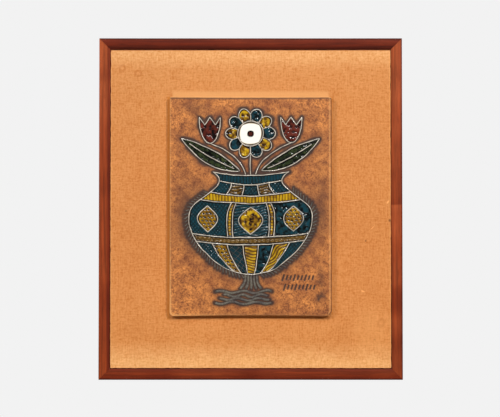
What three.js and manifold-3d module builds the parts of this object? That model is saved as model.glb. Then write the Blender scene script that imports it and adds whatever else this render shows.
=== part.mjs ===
// A framed stoneware wall plaque: a glazed relief tile on a linen-covered board, in a narrow wooden
// frame that hangs by a toothed plate. Millimetres, +Z up, the wall at y = 0, the front facing -Y.
import * as THREE from "three";
import { mergeVertices } from "three/addons/utils/BufferGeometryUtils.js";
import Module from "manifold-3d";

const wasm = await Module();
wasm.setup();

// Free play between pieces that touch, and between the faces of each mitre.
const CLEARANCE = 0.3;

// Frame: four mitred rails with a crowned front face.
const FRAME_WIDTH = 406;
const FRAME_HEIGHT = 457;
const RAIL_FACE = 15;
const RAIL_DEPTH = 22;
const RAIL_CROWN = 0.7;
const RAIL_ARRIS = 1.6;

// Panel: a board covered in linen that is turned round its edges and hemmed behind.
const PANEL_SETBACK = 1;
const LINEN_THICKNESS = 0.8;
const LINEN_HEM = 16;
const BOARD_THICKNESS = 12;

// Tile: slightly above the middle of the panel, each corner rounded by its own radius.
const TILE_WIDTH = 216;
const TILE_HEIGHT = 293;
const TILE_THICKNESS = 8;
const TILE_LIFT = 2.8;
const TILE_CORNERS = { topLeft: 2.8, topRight: 4.5, bottomLeft: 6, bottomRight: 7 };
const TILE_ARRIS = 1.3;

// Relief: heights above the tile's face, widths of the trailed lines, and the bare border.
const FIELD_HEIGHT = 0.8;
const LINE_HEIGHT = 1.9;
const LINE_WIDTH = 2.1;
const STROKE_HEIGHT = 0.9;
const STROKE_WIDTH = 1.7;
const FRINGE_PITCH = 4.2;
const FRINGE_LENGTH = 6.2;
const SCRATCH_DEPTH = 0.5;
const SIDE_BORDER = 14;
const END_BORDER = 14.5;

// Hanger: a toothed plate whose middle stands off the wood, with a pin through each end.
const HANGER_LENGTH = 45;
const HANGER_HEIGHT = 9;
const HANGER_THICKNESS = 1;
const HANGER_STANDOFF = 1.5;
const HANGER_MIDDLE = 28;
const HANGER_JOGGLE = 1.6;
const TOOTH_COUNT = 9;
const TOOTH_DEPTH = 1.8;
const PIN_LENGTH = 9;
const PIN_RADIUS = 0.7;
const PIN_HEAD_RADIUS = 1.7;
const PIN_HEAD_THICKNESS = 0.6;

// Planes from the wall to the front, and heights, that follow from the sizes above.
const frameBack = -(HANGER_STANDOFF + HANGER_THICKNESS + CLEARANCE);
const frameFront = frameBack - RAIL_DEPTH;
const frameTop = RAIL_FACE / 2;
const frameMiddle = frameTop - FRAME_HEIGHT / 2;
const linenFront = frameFront + PANEL_SETBACK;
const boardFront = linenFront + LINEN_THICKNESS + CLEARANCE;
const boardBack = boardFront + BOARD_THICKNESS;
const tileBack = linenFront - CLEARANCE;
const tileMiddle = frameMiddle + TILE_LIFT;
const pinSeat = -HANGER_STANDOFF + CLEARANCE;
const pinPlace = (HANGER_LENGTH / 2 + HANGER_MIDDLE / 2 + HANGER_JOGGLE) / 2;

const material = (color, roughness, metalness = 0) =>
  new THREE.MeshStandardMaterial({ color, roughness, metalness });
const WOOD = material(0x8a3f22, 0.5);
const LINEN = material(0xe29a5a, 0.95);
const BOARD = material(0x8b6a45, 0.9);
const STONEWARE = material(0xa05f38, 0.7);
const STEEL = material(0x9a9a94, 0.35, 1);

const part = new THREE.Group();

function addMesh(name, geometry, finish) {
  const mesh = new THREE.Mesh(geometry, finish);
  mesh.name = name;
  part.add(mesh);
}

// Booleans work on a geometry's positions alone, with its shared corners merged.
function solidOf(geometry) {
  const bare = new THREE.BufferGeometry();
  bare.setAttribute("position", geometry.getAttribute("position"));
  bare.setIndex(geometry.getIndex());
  const merged = mergeVertices(bare, 1e-4);
  return new wasm.Manifold(
    new wasm.Mesh({
      numProp: 3,
      vertProperties: new Float32Array(merged.attributes.position.array),
      triVerts: new Uint32Array(merged.index.array),
    }),
  );
}

function geometryOf(solid) {
  const mesh = solid.getMesh();
  const geometry = new THREE.BufferGeometry();
  geometry.setAttribute("position", new THREE.BufferAttribute(mesh.vertProperties, 3));
  geometry.setIndex(new THREE.BufferAttribute(mesh.triVerts, 1));
  return geometry;
}

// A closed skin from rings of points that all have the same count, each ring running clockwise as
// seen along the path, with a flat cap on each end unless the rings close on themselves.
function skin(rings, closed) {
  const around = rings[0].length;
  const index = [];
  const spans = closed ? rings.length : rings.length - 1;
  for (let i = 0; i < spans; i++) {
    const here = i * around;
    const next = ((i + 1) % rings.length) * around;
    for (let k = 0; k < around; k++) {
      const k2 = (k + 1) % around;
      index.push(here + k, here + k2, next + k2);
      index.push(here + k, next + k2, next + k);
    }
  }
  if (!closed) {
    const last = (rings.length - 1) * around;
    for (let k = 1; k < around - 1; k++) {
      index.push(0, k + 1, k);
      index.push(last, last + k, last + k + 1);
    }
  }
  const geometry = new THREE.BufferGeometry();
  geometry.setAttribute("position", new THREE.Float32BufferAttribute(rings.flat(2), 3));
  geometry.setIndex(index);
  return geometry;
}

// Section of a rail: the distance in from the frame's outer edge, and y. The front face is a
// shallow arch between two rounded arrises.
function railSection() {
  const section = [[0, frameBack]];
  const arc = (middle, from, to) => {
    for (let i = 0; i <= 3; i++) {
      const angle = from + ((to - from) * i) / 3;
      const across = middle + RAIL_ARRIS * Math.cos(angle);
      section.push([across, frameFront + RAIL_CROWN + RAIL_ARRIS * (1 - Math.sin(angle))]);
    }
  };
  arc(RAIL_ARRIS, Math.PI, Math.PI * 0.58);
  for (const share of [0.3, 0.5, 0.7]) {
    const arch = 1 - (2 * share - 1) ** 2;
    section.push([RAIL_FACE * share, frameFront + RAIL_CROWN * (1 - arch)]);
  }
  arc(RAIL_FACE - RAIL_ARRIS, Math.PI * 0.42, 0);
  section.push([RAIL_FACE, frameBack]);
  return section;
}

// A rail of a given outer length along X, its outer edge up, mitred at both ends, centred on x = 0
// with its outer edge at z = 0.
function rail(length) {
  const setback = CLEARANCE / Math.SQRT2;
  const end = (side) =>
    railSection().map(([across, y]) => [side * (length / 2 - across - setback), y, -across]);
  return skin([end(-1), end(1)], false);
}

// A hole for a pin, through whatever lies along its shank.
function pinHole(side) {
  const reach = PIN_LENGTH + CLEARANCE;
  const hole = new THREE.CylinderGeometry(PIN_RADIUS + CLEARANCE, PIN_RADIUS + CLEARANCE, 2 * reach, 12);
  return solidOf(hole.translate(side * pinPlace, pinSeat, 0));
}

function addFrame() {
  const across = FRAME_WIDTH / 2;
  const up = FRAME_HEIGHT / 2;
  let top = rail(FRAME_WIDTH).translate(0, 0, frameTop);
  top = geometryOf(solidOf(top).subtract(pinHole(-1)).subtract(pinHole(1)));
  addMesh("frame_rail_top", top, WOOD);
  const bottom = rail(FRAME_WIDTH).rotateY(Math.PI);
  addMesh("frame_rail_bottom", bottom.translate(0, 0, frameMiddle - up), WOOD);
  const left = rail(FRAME_HEIGHT).rotateY(-Math.PI / 2);
  addMesh("frame_rail_left", left.translate(-across, 0, frameMiddle), WOOD);
  const right = rail(FRAME_HEIGHT).rotateY(Math.PI / 2);
  addMesh("frame_rail_right", right.translate(across, 0, frameMiddle), WOOD);
}

// A block across the panel, inset on every side from the frame's inner edge, between two y planes.
function panelBlock(inset, front, back) {
  const width = FRAME_WIDTH - 2 * (RAIL_FACE + inset);
  const height = FRAME_HEIGHT - 2 * (RAIL_FACE + inset);
  const block = new THREE.BoxGeometry(width, back - front, height);
  return block.translate(0, (front + back) / 2, frameMiddle);
}

function addPanel() {
  const wrap = CLEARANCE + LINEN_THICKNESS;
  const outer = solidOf(panelBlock(CLEARANCE, linenFront, boardBack + wrap));
  const inside = solidOf(panelBlock(wrap, boardFront - CLEARANCE, boardBack + CLEARANCE));
  const window = solidOf(panelBlock(CLEARANCE + LINEN_HEM, boardFront, boardBack + 2 * wrap));
  addMesh("linen_cover", geometryOf(outer.subtract(inside).subtract(window)), LINEN);
  addMesh("backing_board", panelBlock(CLEARANCE + wrap, boardFront, boardBack), BOARD);
}

// Figures on the tile are drawn in shares of the field inside its bare border: u across and v up
// from the tile's middle, both from -1 to 1.
const across = (share) => share * (TILE_WIDTH / 2 - SIDE_BORDER);
const up = (share) => share * (TILE_HEIGHT / 2 - END_BORDER);
const mean = (a, b, share) => a + (b - a) * share;
const steps = (count) => Array.from({ length: count + 1 }, (_, i) => i / count);
const point = (x, y) => new THREE.Vector2(x, y);

// The pot's half width at its foot, belly, neck and rim, and the heights of these.
const POT = {
  foot: { half: across(0.3), at: up(-0.64) },
  belly: { half: across(0.87), at: up(-0.12) },
  neck: { half: across(0.44), at: up(0.26) },
  rim: { half: across(0.54), at: up(0.35) },
};
const BAND_SAG = up(0.04);
const PETALS_TOP = up(-0.35);
const BEADS_TOP = up(-0.275);
const BELLY_TOP = up(0.07);
const BELLY_MIDDLE = mean(BEADS_TOP, BELLY_TOP, 0.5);
const RIDGES_TOP = up(0.145);
const BAND_LEVELS = [PETALS_TOP, BEADS_TOP, BELLY_TOP, RIDGES_TOP, POT.neck.at];
const PETAL_COUNT = 7;
const STRIPES = [0.3, 0.39];
const NECK_LINES = [0.22, 0.6];

// The pot's half width: a full quarter wave from foot to belly, half a wave from belly to neck,
// and a parabola out to the rim.
const BOTTOM_FULLNESS = 0.78;
const SHOULDER_FULLNESS = 1.25;

function potHalf(level) {
  const { foot, belly, neck, rim } = POT;
  if (level <= belly.at) {
    const share = (belly.at - level) / (belly.at - foot.at);
    const wave = Math.max(Math.cos((share * Math.PI) / 2), 0);
    return mean(foot.half, belly.half, wave ** BOTTOM_FULLNESS);
  }
  if (level <= neck.at) {
    const share = ((level - belly.at) / (neck.at - belly.at)) ** SHOULDER_FULLNESS;
    return mean(neck.half, belly.half, (1 + Math.cos(share * Math.PI)) / 2);
  }
  return mean(neck.half, rim.half, ((level - neck.at) / (rim.at - neck.at)) ** 2);
}

// A point on the pot at a share of its half width and a level, with every level line sagging as a
// hoop round the pot does.
const onPot = (share, level) => point(share * potHalf(level), level - BAND_SAG * (1 - share * share));
const upPot = (share, from, to, count) => steps(count).map((t) => onPot(share, mean(from, to, t)));
const roundPot = (level, from, to, count) => steps(count).map((t) => onPot(mean(from, to, t), level));

function potOutline() {
  const { foot, rim } = POT;
  const loop = [
    ...roundPot(foot.at, -1, 1, 6),
    ...upPot(1, foot.at, rim.at, 22).slice(1),
    ...roundPot(rim.at, 1, -1, 8).slice(1),
    ...upPot(-1, rim.at, foot.at, 22).slice(1, -1),
  ];
  return loop;
}

// A pointed oval standing upright: each side one arch of a sine wave.
function almond(middle, halfWidth, halfHeight, count) {
  const side = (sign) =>
    steps(count)
      .slice(0, -1)
      .map((t) => {
        const bulge = sign * halfWidth * Math.sin(t * Math.PI);
        return point(middle.x + bulge, middle.y + sign * halfHeight * (2 * t - 1));
      });
  return [...side(1), ...side(-1)];
}

function circle(middle, radius, count) {
  const turn = (t) => new THREE.Vector2(radius, 0).rotateAround(point(0, 0), 2 * Math.PI * t);
  return steps(count)
    .slice(0, -1)
    .map((t) => turn(t).add(middle));
}

// The blossom: a ring of round petals about a disc, its outline swelling once for each petal.
const BLOSSOM = {
  middle: point(0, up(0.735)),
  eye: up(0.036),
  disc: up(0.13),
  cusp: up(0.19),
  tip: up(0.255),
  petals: 10,
};

function blossomPoint(angle, radius) {
  return point(BLOSSOM.middle.x + radius * Math.sin(angle), BLOSSOM.middle.y + radius * Math.cos(angle));
}

function blossomOutline(perPetal) {
  const count = BLOSSOM.petals * perPetal;
  return steps(count)
    .slice(0, -1)
    .map((t) => {
      const swell = Math.sin(((t * BLOSSOM.petals) % 1) * Math.PI) ** 0.7;
      return blossomPoint(-2 * Math.PI * t, mean(BLOSSOM.cusp, BLOSSOM.tip, swell));
    });
}

// A tulip: a cup whose half width is a quarter ellipse of its height, its top edge in three points.
const TULIP = { across: across(0.58), foot: up(0.635), height: up(0.26), half: across(0.15), notch: 0.3 };

function tulipPoint(side, share, rise) {
  const wave = Math.abs(2 * (Math.abs(share) % 1) - 1);
  const top = TULIP.height * (1 - TULIP.notch * (1 - wave));
  const half = TULIP.half * Math.sqrt(1 - (1 - rise) ** 2);
  return point(side * TULIP.across + share * half, TULIP.foot + rise * top);
}

function tulipOutline(side) {
  const loop = steps(6)
    .slice(1)
    .map((t) => tulipPoint(side, 1, t));
  const crown = [0.5, 0, -0.5].map((share) => tulipPoint(side, share, 1));
  const back = steps(6)
    .slice(0, -1)
    .map((t) => tulipPoint(side, -1, 1 - t));
  return [tulipPoint(side, 0, 0), ...loop, ...crown, ...back];
}

// A leaf about a spine with one bend, its half width a sine arch along the spine.
const LEAF = { from: [0.16, 0.36], bend: [0.54, 0.46], to: [0.98, 0.68], half: across(0.1), count: 10 };

function leafSpine(side) {
  const corner = ([u, v]) => point(side * across(u), up(v));
  return new THREE.QuadraticBezierCurve(corner(LEAF.from), corner(LEAF.bend), corner(LEAF.to));
}

function leafOutline(side) {
  const spine = leafSpine(side);
  const edge = (sign) =>
    steps(LEAF.count)
      .slice(0, -1)
      .map((t) => {
        const along = sign * side > 0 ? t : 1 - t;
        const tangent = spine.getTangent(along);
        const half = LEAF.half * Math.sin(along * Math.PI) ** 0.8;
        const foot = spine.getPoint(along);
        return point(foot.x + sign * side * half * tangent.y, foot.y - sign * side * half * tangent.x);
      });
  return [...edge(1), ...edge(-1)];
}

// Stems, from the rim to the foot of each flower.
function stem(side) {
  const root = point(side * across(0.07), up(0.315));
  const bend = point(side * across(0.14), up(0.52));
  const tip = point(side * TULIP.across, TULIP.foot);
  return new THREE.QuadraticBezierCurve(root, bend, tip).getPoints(8);
}

// Heights on the tile are measured from its back; what is raised starts a little below its face.
const SINK = 1.2;
const faceOf = TILE_THICKNESS;

// A flat-topped field of clay inside an outline.
function field(outline, height) {
  const shape = new THREE.Shape(outline);
  const geometry = new THREE.ExtrudeGeometry(shape, { depth: height + SINK, bevelEnabled: false });
  return geometry.translate(0, 0, faceOf - SINK);
}

// A trailed line of clay along a path: a section narrower at its top, set square to the path, and
// mitred where the path turns.
function line(path, closed, width = LINE_WIDTH, height = LINE_HEIGHT) {
  const count = path.length;
  const direction = (a, b) => b.clone().sub(a).normalize();
  const rings = path.map((here, i) => {
    const before = path[closed ? (i + count - 1) % count : Math.max(i - 1, 0)];
    const after = path[closed ? (i + 1) % count : Math.min(i + 1, count - 1)];
    const arriving = before === here ? direction(here, after) : direction(before, here);
    const leaving = after === here ? arriving : direction(here, after);
    const along = arriving.clone().add(leaving).normalize();
    const mitre = Math.min(1 / Math.max(along.dot(arriving), 0.1), 1.5);
    const left = point(-along.y, along.x).multiplyScalar((mitre * width) / 2);
    const corner = (share, z) => [here.x + share * left.x, here.y + share * left.y, z];
    const foot = faceOf - SINK;
    const top = faceOf + height;
    return [corner(1, foot), corner(0.55, top), corner(-0.55, top), corner(-1, foot)];
  });
  return skin(rings, closed);
}

// Short slanted strokes that stand off the pot's outline like a twisted cord, except at its foot.
const FOOT_WIDTH = across(0.1);

function fringe() {
  const side = (sign) => upPot(sign, BELLY_TOP + up(0.06), POT.foot.at, 60);
  const path = [...side(-1), ...roundPot(POT.foot.at, -1, 1, 20).slice(1, -1), ...side(1).reverse()];
  const strokes = [];
  let travelled = 0;
  for (let i = 1; i < path.length; i++) {
    const along = path[i].clone().sub(path[i - 1]);
    travelled += along.length();
    if (travelled < FRINGE_PITCH) continue;
    travelled -= FRINGE_PITCH;
    if (Math.abs(path[i].x) < FOOT_WIDTH) continue;
    along.normalize();
    const out = point(along.y, -along.x);
    const root = path[i].clone().addScaledVector(out, LINE_WIDTH * 0.75);
    const slant = out.multiplyScalar(0.8).addScaledVector(along, 0.6);
    const tip = root.clone().addScaledVector(slant, FRINGE_LENGTH);
    strokes.push(line([root, tip], false, STROKE_WIDTH, STROKE_HEIGHT));
  }
  return strokes;
}

// Below the pot: a fluted foot that spreads towards the ground, and rows of wavy ground strokes.
const FLUTE_COUNT = 5;
const FLUTES = { top: up(-0.685), bottom: up(-0.83), gapAbove: across(0.04), gapBelow: across(0.075) };
const GROUND_ROWS = 4;
const GROUND = { left: across(-0.5), right: across(0.3), top: up(-0.86), row: up(0.043), wave: up(0.012) };

function footStrokes() {
  const strokes = [];
  for (let k = 0; k < FLUTE_COUNT; k++) {
    const share = k - (FLUTE_COUNT - 1) / 2;
    const spread = (t) => share * mean(FLUTES.gapAbove, FLUTES.gapBelow, t ** 3);
    const flute = steps(4).map((t) => point(spread(t), mean(FLUTES.top, FLUTES.bottom, t)));
    strokes.push(line(flute, false, STROKE_WIDTH, STROKE_HEIGHT));
  }
  for (let row = 0; row < GROUND_ROWS; row++) {
    const inset = ((row * 2) % 3) * across(0.06);
    const wavy = steps(12).map((t) => {
      const x = mean(GROUND.left + inset, GROUND.right - inset / 2, t);
      return point(x, GROUND.top - row * GROUND.row + GROUND.wave * Math.sin(t * 5 * Math.PI + row));
    });
    strokes.push(line(wavy, false, STROKE_WIDTH, STROKE_HEIGHT));
  }
  return strokes;
}

// Two rows of plain slanted scratches in the lower right corner.
const SCRATCH_ROWS = 2;
const SCRATCH_COUNT = 9;

function scratches() {
  const cuts = [];
  for (let row = 0; row < SCRATCH_ROWS; row++) {
    for (let k = 0; k < SCRATCH_COUNT; k++) {
      const length = up(k % 3 === 0 ? 0.055 : 0.035);
      const cut = new THREE.BoxGeometry(STROKE_WIDTH / 2, length, 2 * SCRATCH_DEPTH);
      cut.rotateZ(-0.3);
      const x = across(mean(0.46, 0.88, k / (SCRATCH_COUNT - 1)) + 0.02 * row);
      cuts.push(cut.translate(x, up(-0.72 - 0.095 * row), faceOf));
    }
  }
  return cuts;
}

// Every trailed line of the relief.
function trailedLines() {
  const { foot, rim } = POT;
  const lines = [line(potOutline(), true)];
  for (const level of BAND_LEVELS) lines.push(line(roundPot(level, -1, 1, 12), false));
  for (let k = 1; k < PETAL_COUNT; k++) {
    lines.push(line(upPot((2 * k) / PETAL_COUNT - 1, foot.at, PETALS_TOP, 5), false));
  }
  for (const side of [-1, 1]) {
    for (const share of STRIPES) {
      lines.push(line(upPot(side * share, BEADS_TOP, BELLY_TOP, 6), false));
    }
    for (const share of NECK_LINES) {
      lines.push(line(upPot(side * share, RIDGES_TOP, POT.neck.at, 4), false));
    }
    lines.push(line(almond(onPot(side * 0.7, BELLY_MIDDLE), across(0.14), up(0.13), 8), true));
    lines.push(line(stem(side), false));
    lines.push(line(tulipOutline(side), true));
    lines.push(line(leafOutline(side), true));
    lines.push(line(leafSpine(side).getPoints(8).slice(1, -1), false, STROKE_WIDTH, LINE_HEIGHT));
  }
  lines.push(line(almond(onPot(0, BELLY_MIDDLE), across(0.17), up(0.14), 8), true));
  lines.push(line([onPot(0, rim.at), point(0, BLOSSOM.middle.y - BLOSSOM.cusp)], false));
  lines.push(line(circle(BLOSSOM.middle, BLOSSOM.disc, 24), true));
  lines.push(line(blossomOutline(6), true));
  for (let k = 0; k < BLOSSOM.petals; k++) {
    const angle = (2 * Math.PI * k) / BLOSSOM.petals;
    lines.push(line([blossomPoint(angle, BLOSSOM.disc), blossomPoint(angle, BLOSSOM.cusp)], false));
  }
  return lines;
}

function raisedFields() {
  const fields = [field(potOutline(), FIELD_HEIGHT), field(blossomOutline(6), FIELD_HEIGHT)];
  for (const side of [-1, 1]) {
    fields.push(field(tulipOutline(side), FIELD_HEIGHT));
    fields.push(field(leafOutline(side), FIELD_HEIGHT));
  }
  fields.push(field(circle(BLOSSOM.middle, BLOSSOM.eye, 12), LINE_HEIGHT));
  return fields;
}

// The tile's outline, a quarter circle at each corner, drawn inside its rounded front edge.
function tileShape() {
  const right = TILE_WIDTH / 2 - TILE_ARRIS;
  const top = TILE_HEIGHT / 2 - TILE_ARRIS;
  const { topLeft, topRight, bottomLeft, bottomRight } = TILE_CORNERS;
  const shape = new THREE.Shape();
  shape.moveTo(-right + bottomLeft, -top);
  shape.absarc(right - bottomRight, -top + bottomRight, bottomRight, -Math.PI / 2, 0, false);
  shape.absarc(right - topRight, top - topRight, topRight, 0, Math.PI / 2, false);
  shape.absarc(-right + topLeft, top - topLeft, topLeft, Math.PI / 2, Math.PI, false);
  shape.absarc(-right + bottomLeft, -top + bottomLeft, bottomLeft, Math.PI, Math.PI * 1.5, false);
  return shape;
}

function addTile() {
  const blank = new THREE.ExtrudeGeometry(tileShape(), {
    depth: TILE_THICKNESS - 2 * TILE_ARRIS,
    bevelThickness: TILE_ARRIS,
    bevelSize: TILE_ARRIS,
    bevelSegments: 2,
    curveSegments: 6,
  });
  let tile = solidOf(blank.translate(0, 0, TILE_ARRIS));
  for (const raised of [...raisedFields(), ...trailedLines(), ...fringe(), ...footStrokes()]) {
    tile = tile.add(solidOf(raised));
  }
  for (const cut of scratches()) tile = tile.subtract(solidOf(cut));
  const geometry = geometryOf(tile).rotateX(Math.PI / 2);
  addMesh("ceramic_tile", geometry.translate(0, tileBack, tileMiddle), STONEWARE);
}

function addHanger() {
  const bend = HANGER_MIDDLE / 2;
  const foot = bend + HANGER_JOGGLE;
  const end = HANGER_LENGTH / 2;
  const wallSide = [
    [-end, -HANGER_STANDOFF],
    [-foot, -HANGER_STANDOFF],
    [-bend, 0],
    [bend, 0],
    [foot, -HANGER_STANDOFF],
    [end, -HANGER_STANDOFF],
  ];
  const woodSide = wallSide.map(([x, y]) => [x, y - HANGER_THICKNESS]).reverse();
  const strip = new THREE.Shape([...wallSide, ...woodSide].map(([x, y]) => point(x, y)));
  const blank = new THREE.ExtrudeGeometry(strip, { depth: HANGER_HEIGHT, bevelEnabled: false });
  let plate = solidOf(blank.translate(0, 0, -HANGER_HEIGHT / 2));
  const pitch = HANGER_MIDDLE / (TOOTH_COUNT + 1);
  for (let k = 0; k < TOOTH_COUNT; k++) {
    const middle = (k - (TOOTH_COUNT - 1) / 2) * pitch;
    const low = -HANGER_HEIGHT / 2;
    const notch = new THREE.Shape([
      point(middle - pitch * 0.45, low - CLEARANCE),
      point(middle + pitch * 0.45, low - CLEARANCE),
      point(middle, low + TOOTH_DEPTH),
    ]);
    const cutter = new THREE.ExtrudeGeometry(notch, { depth: 3 * HANGER_THICKNESS, bevelEnabled: false });
    plate = plate.subtract(solidOf(cutter.rotateX(Math.PI / 2).translate(0, HANGER_THICKNESS, 0)));
  }
  for (const side of [-1, 1]) plate = plate.subtract(pinHole(side));
  addMesh("hanger_plate", geometryOf(plate), STEEL);
}

// A pin with a low round head, its shank running into the wood.
function addPins() {
  const profile = [
    point(0, pinSeat - PIN_LENGTH),
    point(PIN_RADIUS, pinSeat - PIN_LENGTH + PIN_RADIUS),
    point(PIN_RADIUS, pinSeat),
    point(PIN_HEAD_RADIUS, pinSeat),
    point(PIN_HEAD_RADIUS, pinSeat + PIN_HEAD_THICKNESS * 0.5),
    point(PIN_HEAD_RADIUS * 0.7, pinSeat + PIN_HEAD_THICKNESS),
    point(0, pinSeat + PIN_HEAD_THICKNESS),
  ];
  for (const [name, side] of [["hanger_pin_left", -1], ["hanger_pin_right", 1]]) {
    addMesh(name, new THREE.LatheGeometry(profile, 12).translate(side * pinPlace, 0, 0), STEEL);
  }
}

addFrame();
addPanel();
addTile();
addHanger();
addPins();

export default part;
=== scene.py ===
"""Finishes for a framed stoneware wall plaque, laid out as an add-on and run as a script."""

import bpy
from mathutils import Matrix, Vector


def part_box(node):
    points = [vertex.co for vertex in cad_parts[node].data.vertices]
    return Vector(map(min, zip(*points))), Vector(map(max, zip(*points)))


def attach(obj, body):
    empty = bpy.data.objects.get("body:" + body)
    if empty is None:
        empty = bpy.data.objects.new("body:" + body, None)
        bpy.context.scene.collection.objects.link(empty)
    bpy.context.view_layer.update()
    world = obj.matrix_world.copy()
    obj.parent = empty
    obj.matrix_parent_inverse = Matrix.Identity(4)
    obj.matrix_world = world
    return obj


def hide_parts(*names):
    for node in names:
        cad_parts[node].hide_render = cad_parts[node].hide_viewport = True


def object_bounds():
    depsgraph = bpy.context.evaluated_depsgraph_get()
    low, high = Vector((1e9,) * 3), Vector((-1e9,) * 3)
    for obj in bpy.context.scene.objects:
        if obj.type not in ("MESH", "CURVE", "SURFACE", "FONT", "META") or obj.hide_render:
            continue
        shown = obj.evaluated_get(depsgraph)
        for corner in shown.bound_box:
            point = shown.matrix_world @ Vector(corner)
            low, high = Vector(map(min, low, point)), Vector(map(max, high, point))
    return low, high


bl_info = {
    "name": "Stoneware plaque finishes",
    "version": (1, 0, 0),
    "blender": (4, 5, 0),
    "location": "View3D > Sidebar > Plaque",
    "description": "Wooden rails, stretched linen, glazed relief tile and studio for a wall plaque",
    "category": "Object",
}

import math
from types import SimpleNamespace

import bpy
import numpy as np
from mathutils import Vector

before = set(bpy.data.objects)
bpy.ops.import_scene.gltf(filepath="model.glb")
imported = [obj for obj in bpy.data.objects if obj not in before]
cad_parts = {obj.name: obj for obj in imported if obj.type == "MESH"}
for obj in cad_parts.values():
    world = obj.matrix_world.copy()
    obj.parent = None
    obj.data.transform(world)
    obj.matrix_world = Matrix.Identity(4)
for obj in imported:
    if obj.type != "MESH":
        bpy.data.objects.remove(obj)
cad_low, cad_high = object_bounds()

MM = 0.001
TAU = 2 * math.pi

# Boxes of the solids that the finishes are fitted to, in metres.
RAIL_BOX = {side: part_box(f"frame_rail_{side}") for side in ("top", "bottom", "left", "right")}
LINEN_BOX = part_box("linen_cover")
TILE_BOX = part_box("ceramic_tile")
FRAME_MIDDLE = (RAIL_BOX["left"][0] + RAIL_BOX["right"][1]) / 2

# The photograph's frame, and the millimetres that one of its pixels covers on the plaque.
PHOTO_WIDTH = 500
PHOTO_HEIGHT = 417
PHOTO_SCALE = 1.3365 * MM
PLAQUE_PIXEL = (250.64, 208.5)


def from_photo(across, down):
    """Place (x, z) on the plaque of a pixel of the photograph."""
    x = FRAME_MIDDLE.x + (across - PLAQUE_PIXEL[0]) * PHOTO_SCALE
    return x, FRAME_MIDDLE.z - (down - PLAQUE_PIXEL[1]) * PHOTO_SCALE


def tone(red, green, blue):
    """A colour given in the 0 to 255 of a screen, as linear light."""
    def linear(value):
        value /= 255
        return value / 12.92 if value <= 0.04045 else ((value + 0.055) / 1.055) ** 2.4
    return linear(red), linear(green), linear(blue)


def colour_property(name, description, shade):
    return bpy.props.FloatVectorProperty(
        name=name, description=description, subtype="COLOR", size=3, min=0, max=1, default=tone(*shade)
    )


def length_property(name, description, millimetres):
    return bpy.props.FloatProperty(
        name=name, description=description, unit="LENGTH", precision=5, default=millimetres * MM
    )


class PlaqueSizes(bpy.types.PropertyGroup):
    """Sizes of the finishes that the solids' boxes don't give."""

    rail_crown: length_property("Rail crown", "Rise of the middle of a rail's face", 0.7)
    rail_arris: length_property("Rail arris", "Radius of a rail's front edges", 1.1)
    cloth_thickness: length_property("Cloth", "Thickness of the linen", 0.8)
    cloth_edge: length_property("Cloth edge", "Radius of the linen where it turns over the board", 1.0)
    cloth_hem: length_property("Hem", "Width of the linen turned behind the board", 16)
    tile_thickness: length_property("Tile", "Thickness of the tile without its relief", 8)
    tile_arris: length_property("Tile arris", "Radius of the tile's front edge", 1.5)
    line_width: length_property("Line", "Width of a trailed line of clay", 1.9)
    line_height: length_property("Line height", "Height of a trailed line above the tile's face", 1.85)
    stroke_width: length_property("Stroke", "Width of a stroke of bare clay", 1.7)
    stroke_height: length_property("Stroke height", "Height of a stroke of bare clay", 0.95)
    fringe_pitch: length_property("Fringe pitch", "Distance between the strokes round the pot", 4.2)
    fringe_length: length_property("Fringe length", "Length of the strokes round the pot", 6.2)
    side_border: length_property("Side border", "Bare clay beside the relief", 14)
    end_border: length_property("End border", "Bare clay above and below the relief", 14.5)


class PlaqueColours(bpy.types.PropertyGroup):
    """The main colour of each finish."""

    wood: colour_property("Wood", "Oiled reddish-brown hardwood", (148, 62, 28))
    linen: colour_property("Linen", "Orange-tan cloth", (219, 154, 93))
    clay: colour_property("Clay", "Iron-bearing stoneware", (194, 121, 60))
    stain: colour_property("Stain", "Dark oxide rubbed into the clay", (42, 32, 30))
    slip: colour_property("Slip", "Trailed lines of pale clay", (222, 209, 190))
    bare: colour_property("Bare strokes", "Grey unglazed clay of the foot", (98, 90, 76))
    teal: colour_property("Teal", "Deep blue-green glaze", (21, 44, 49))
    mustard: colour_property("Mustard", "Yellow-ochre glaze", (122, 86, 17))
    amber: colour_property("Amber", "Brown-amber glaze", (74, 52, 18))
    green: colour_property("Green", "Dark leaf-green glaze", (31, 38, 21))
    white: colour_property("White", "Opaque white glaze", (240, 238, 224))
    red: colour_property("Red", "Dark red glaze", (70, 28, 19))


CLASSES = [PlaqueSizes, PlaqueColours]


def operator(label):
    """Marks a class as one of the plaque's operators."""
    def mark(cls):
        cls.bl_label = label
        cls.bl_options = {"REGISTER", "UNDO"}
        CLASSES.append(cls)
        return cls
    return mark


# Surfaces


def value_noise(x, y, size, seed):
    """Smooth random heights from -1 to 1: random numbers at the corners of a square lattice,
    blended inside each square by the smoothstep of the two distances."""
    table = np.random.default_rng(seed).uniform(-1, 1, (256, 256))
    across, up = np.asarray(x) / size, np.asarray(y) / size
    column, row = np.floor(across).astype(int), np.floor(up).astype(int)
    right, above = across - column, up - row
    right, above = right * right * (3 - 2 * right), above * above * (3 - 2 * above)
    def corner(i, j):
        return table[(column + i) % 256, (row + j) % 256]
    low = corner(0, 0) * (1 - right) + corner(1, 0) * right
    high = corner(0, 1) * (1 - right) + corner(1, 1) * right
    return low * (1 - above) + high * above


def layered_noise(x, y, size, seed, layers=3):
    """The sum of noises, each of half the size and half the height of the one before."""
    return sum(value_noise(x, y, size / 2**k, seed + k) / 2**k for k in range(layers))


def bell(distance, width):
    """1 at no distance, falling off as a bell curve: the inverse exponential of the squared ratio."""
    return np.exp(-((distance / width) ** 2))


def fading(distance, width):
    """1 at no distance, falling by the same share over every width."""
    return np.exp(-distance / width)


def cloud(places, middle, spread):
    """A soft patch about a middle: a bell curve across it times one up it."""
    return bell(places[:, 0] - middle[0], spread[0]) * bell(places[:, 1] - middle[1], spread[1])


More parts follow.
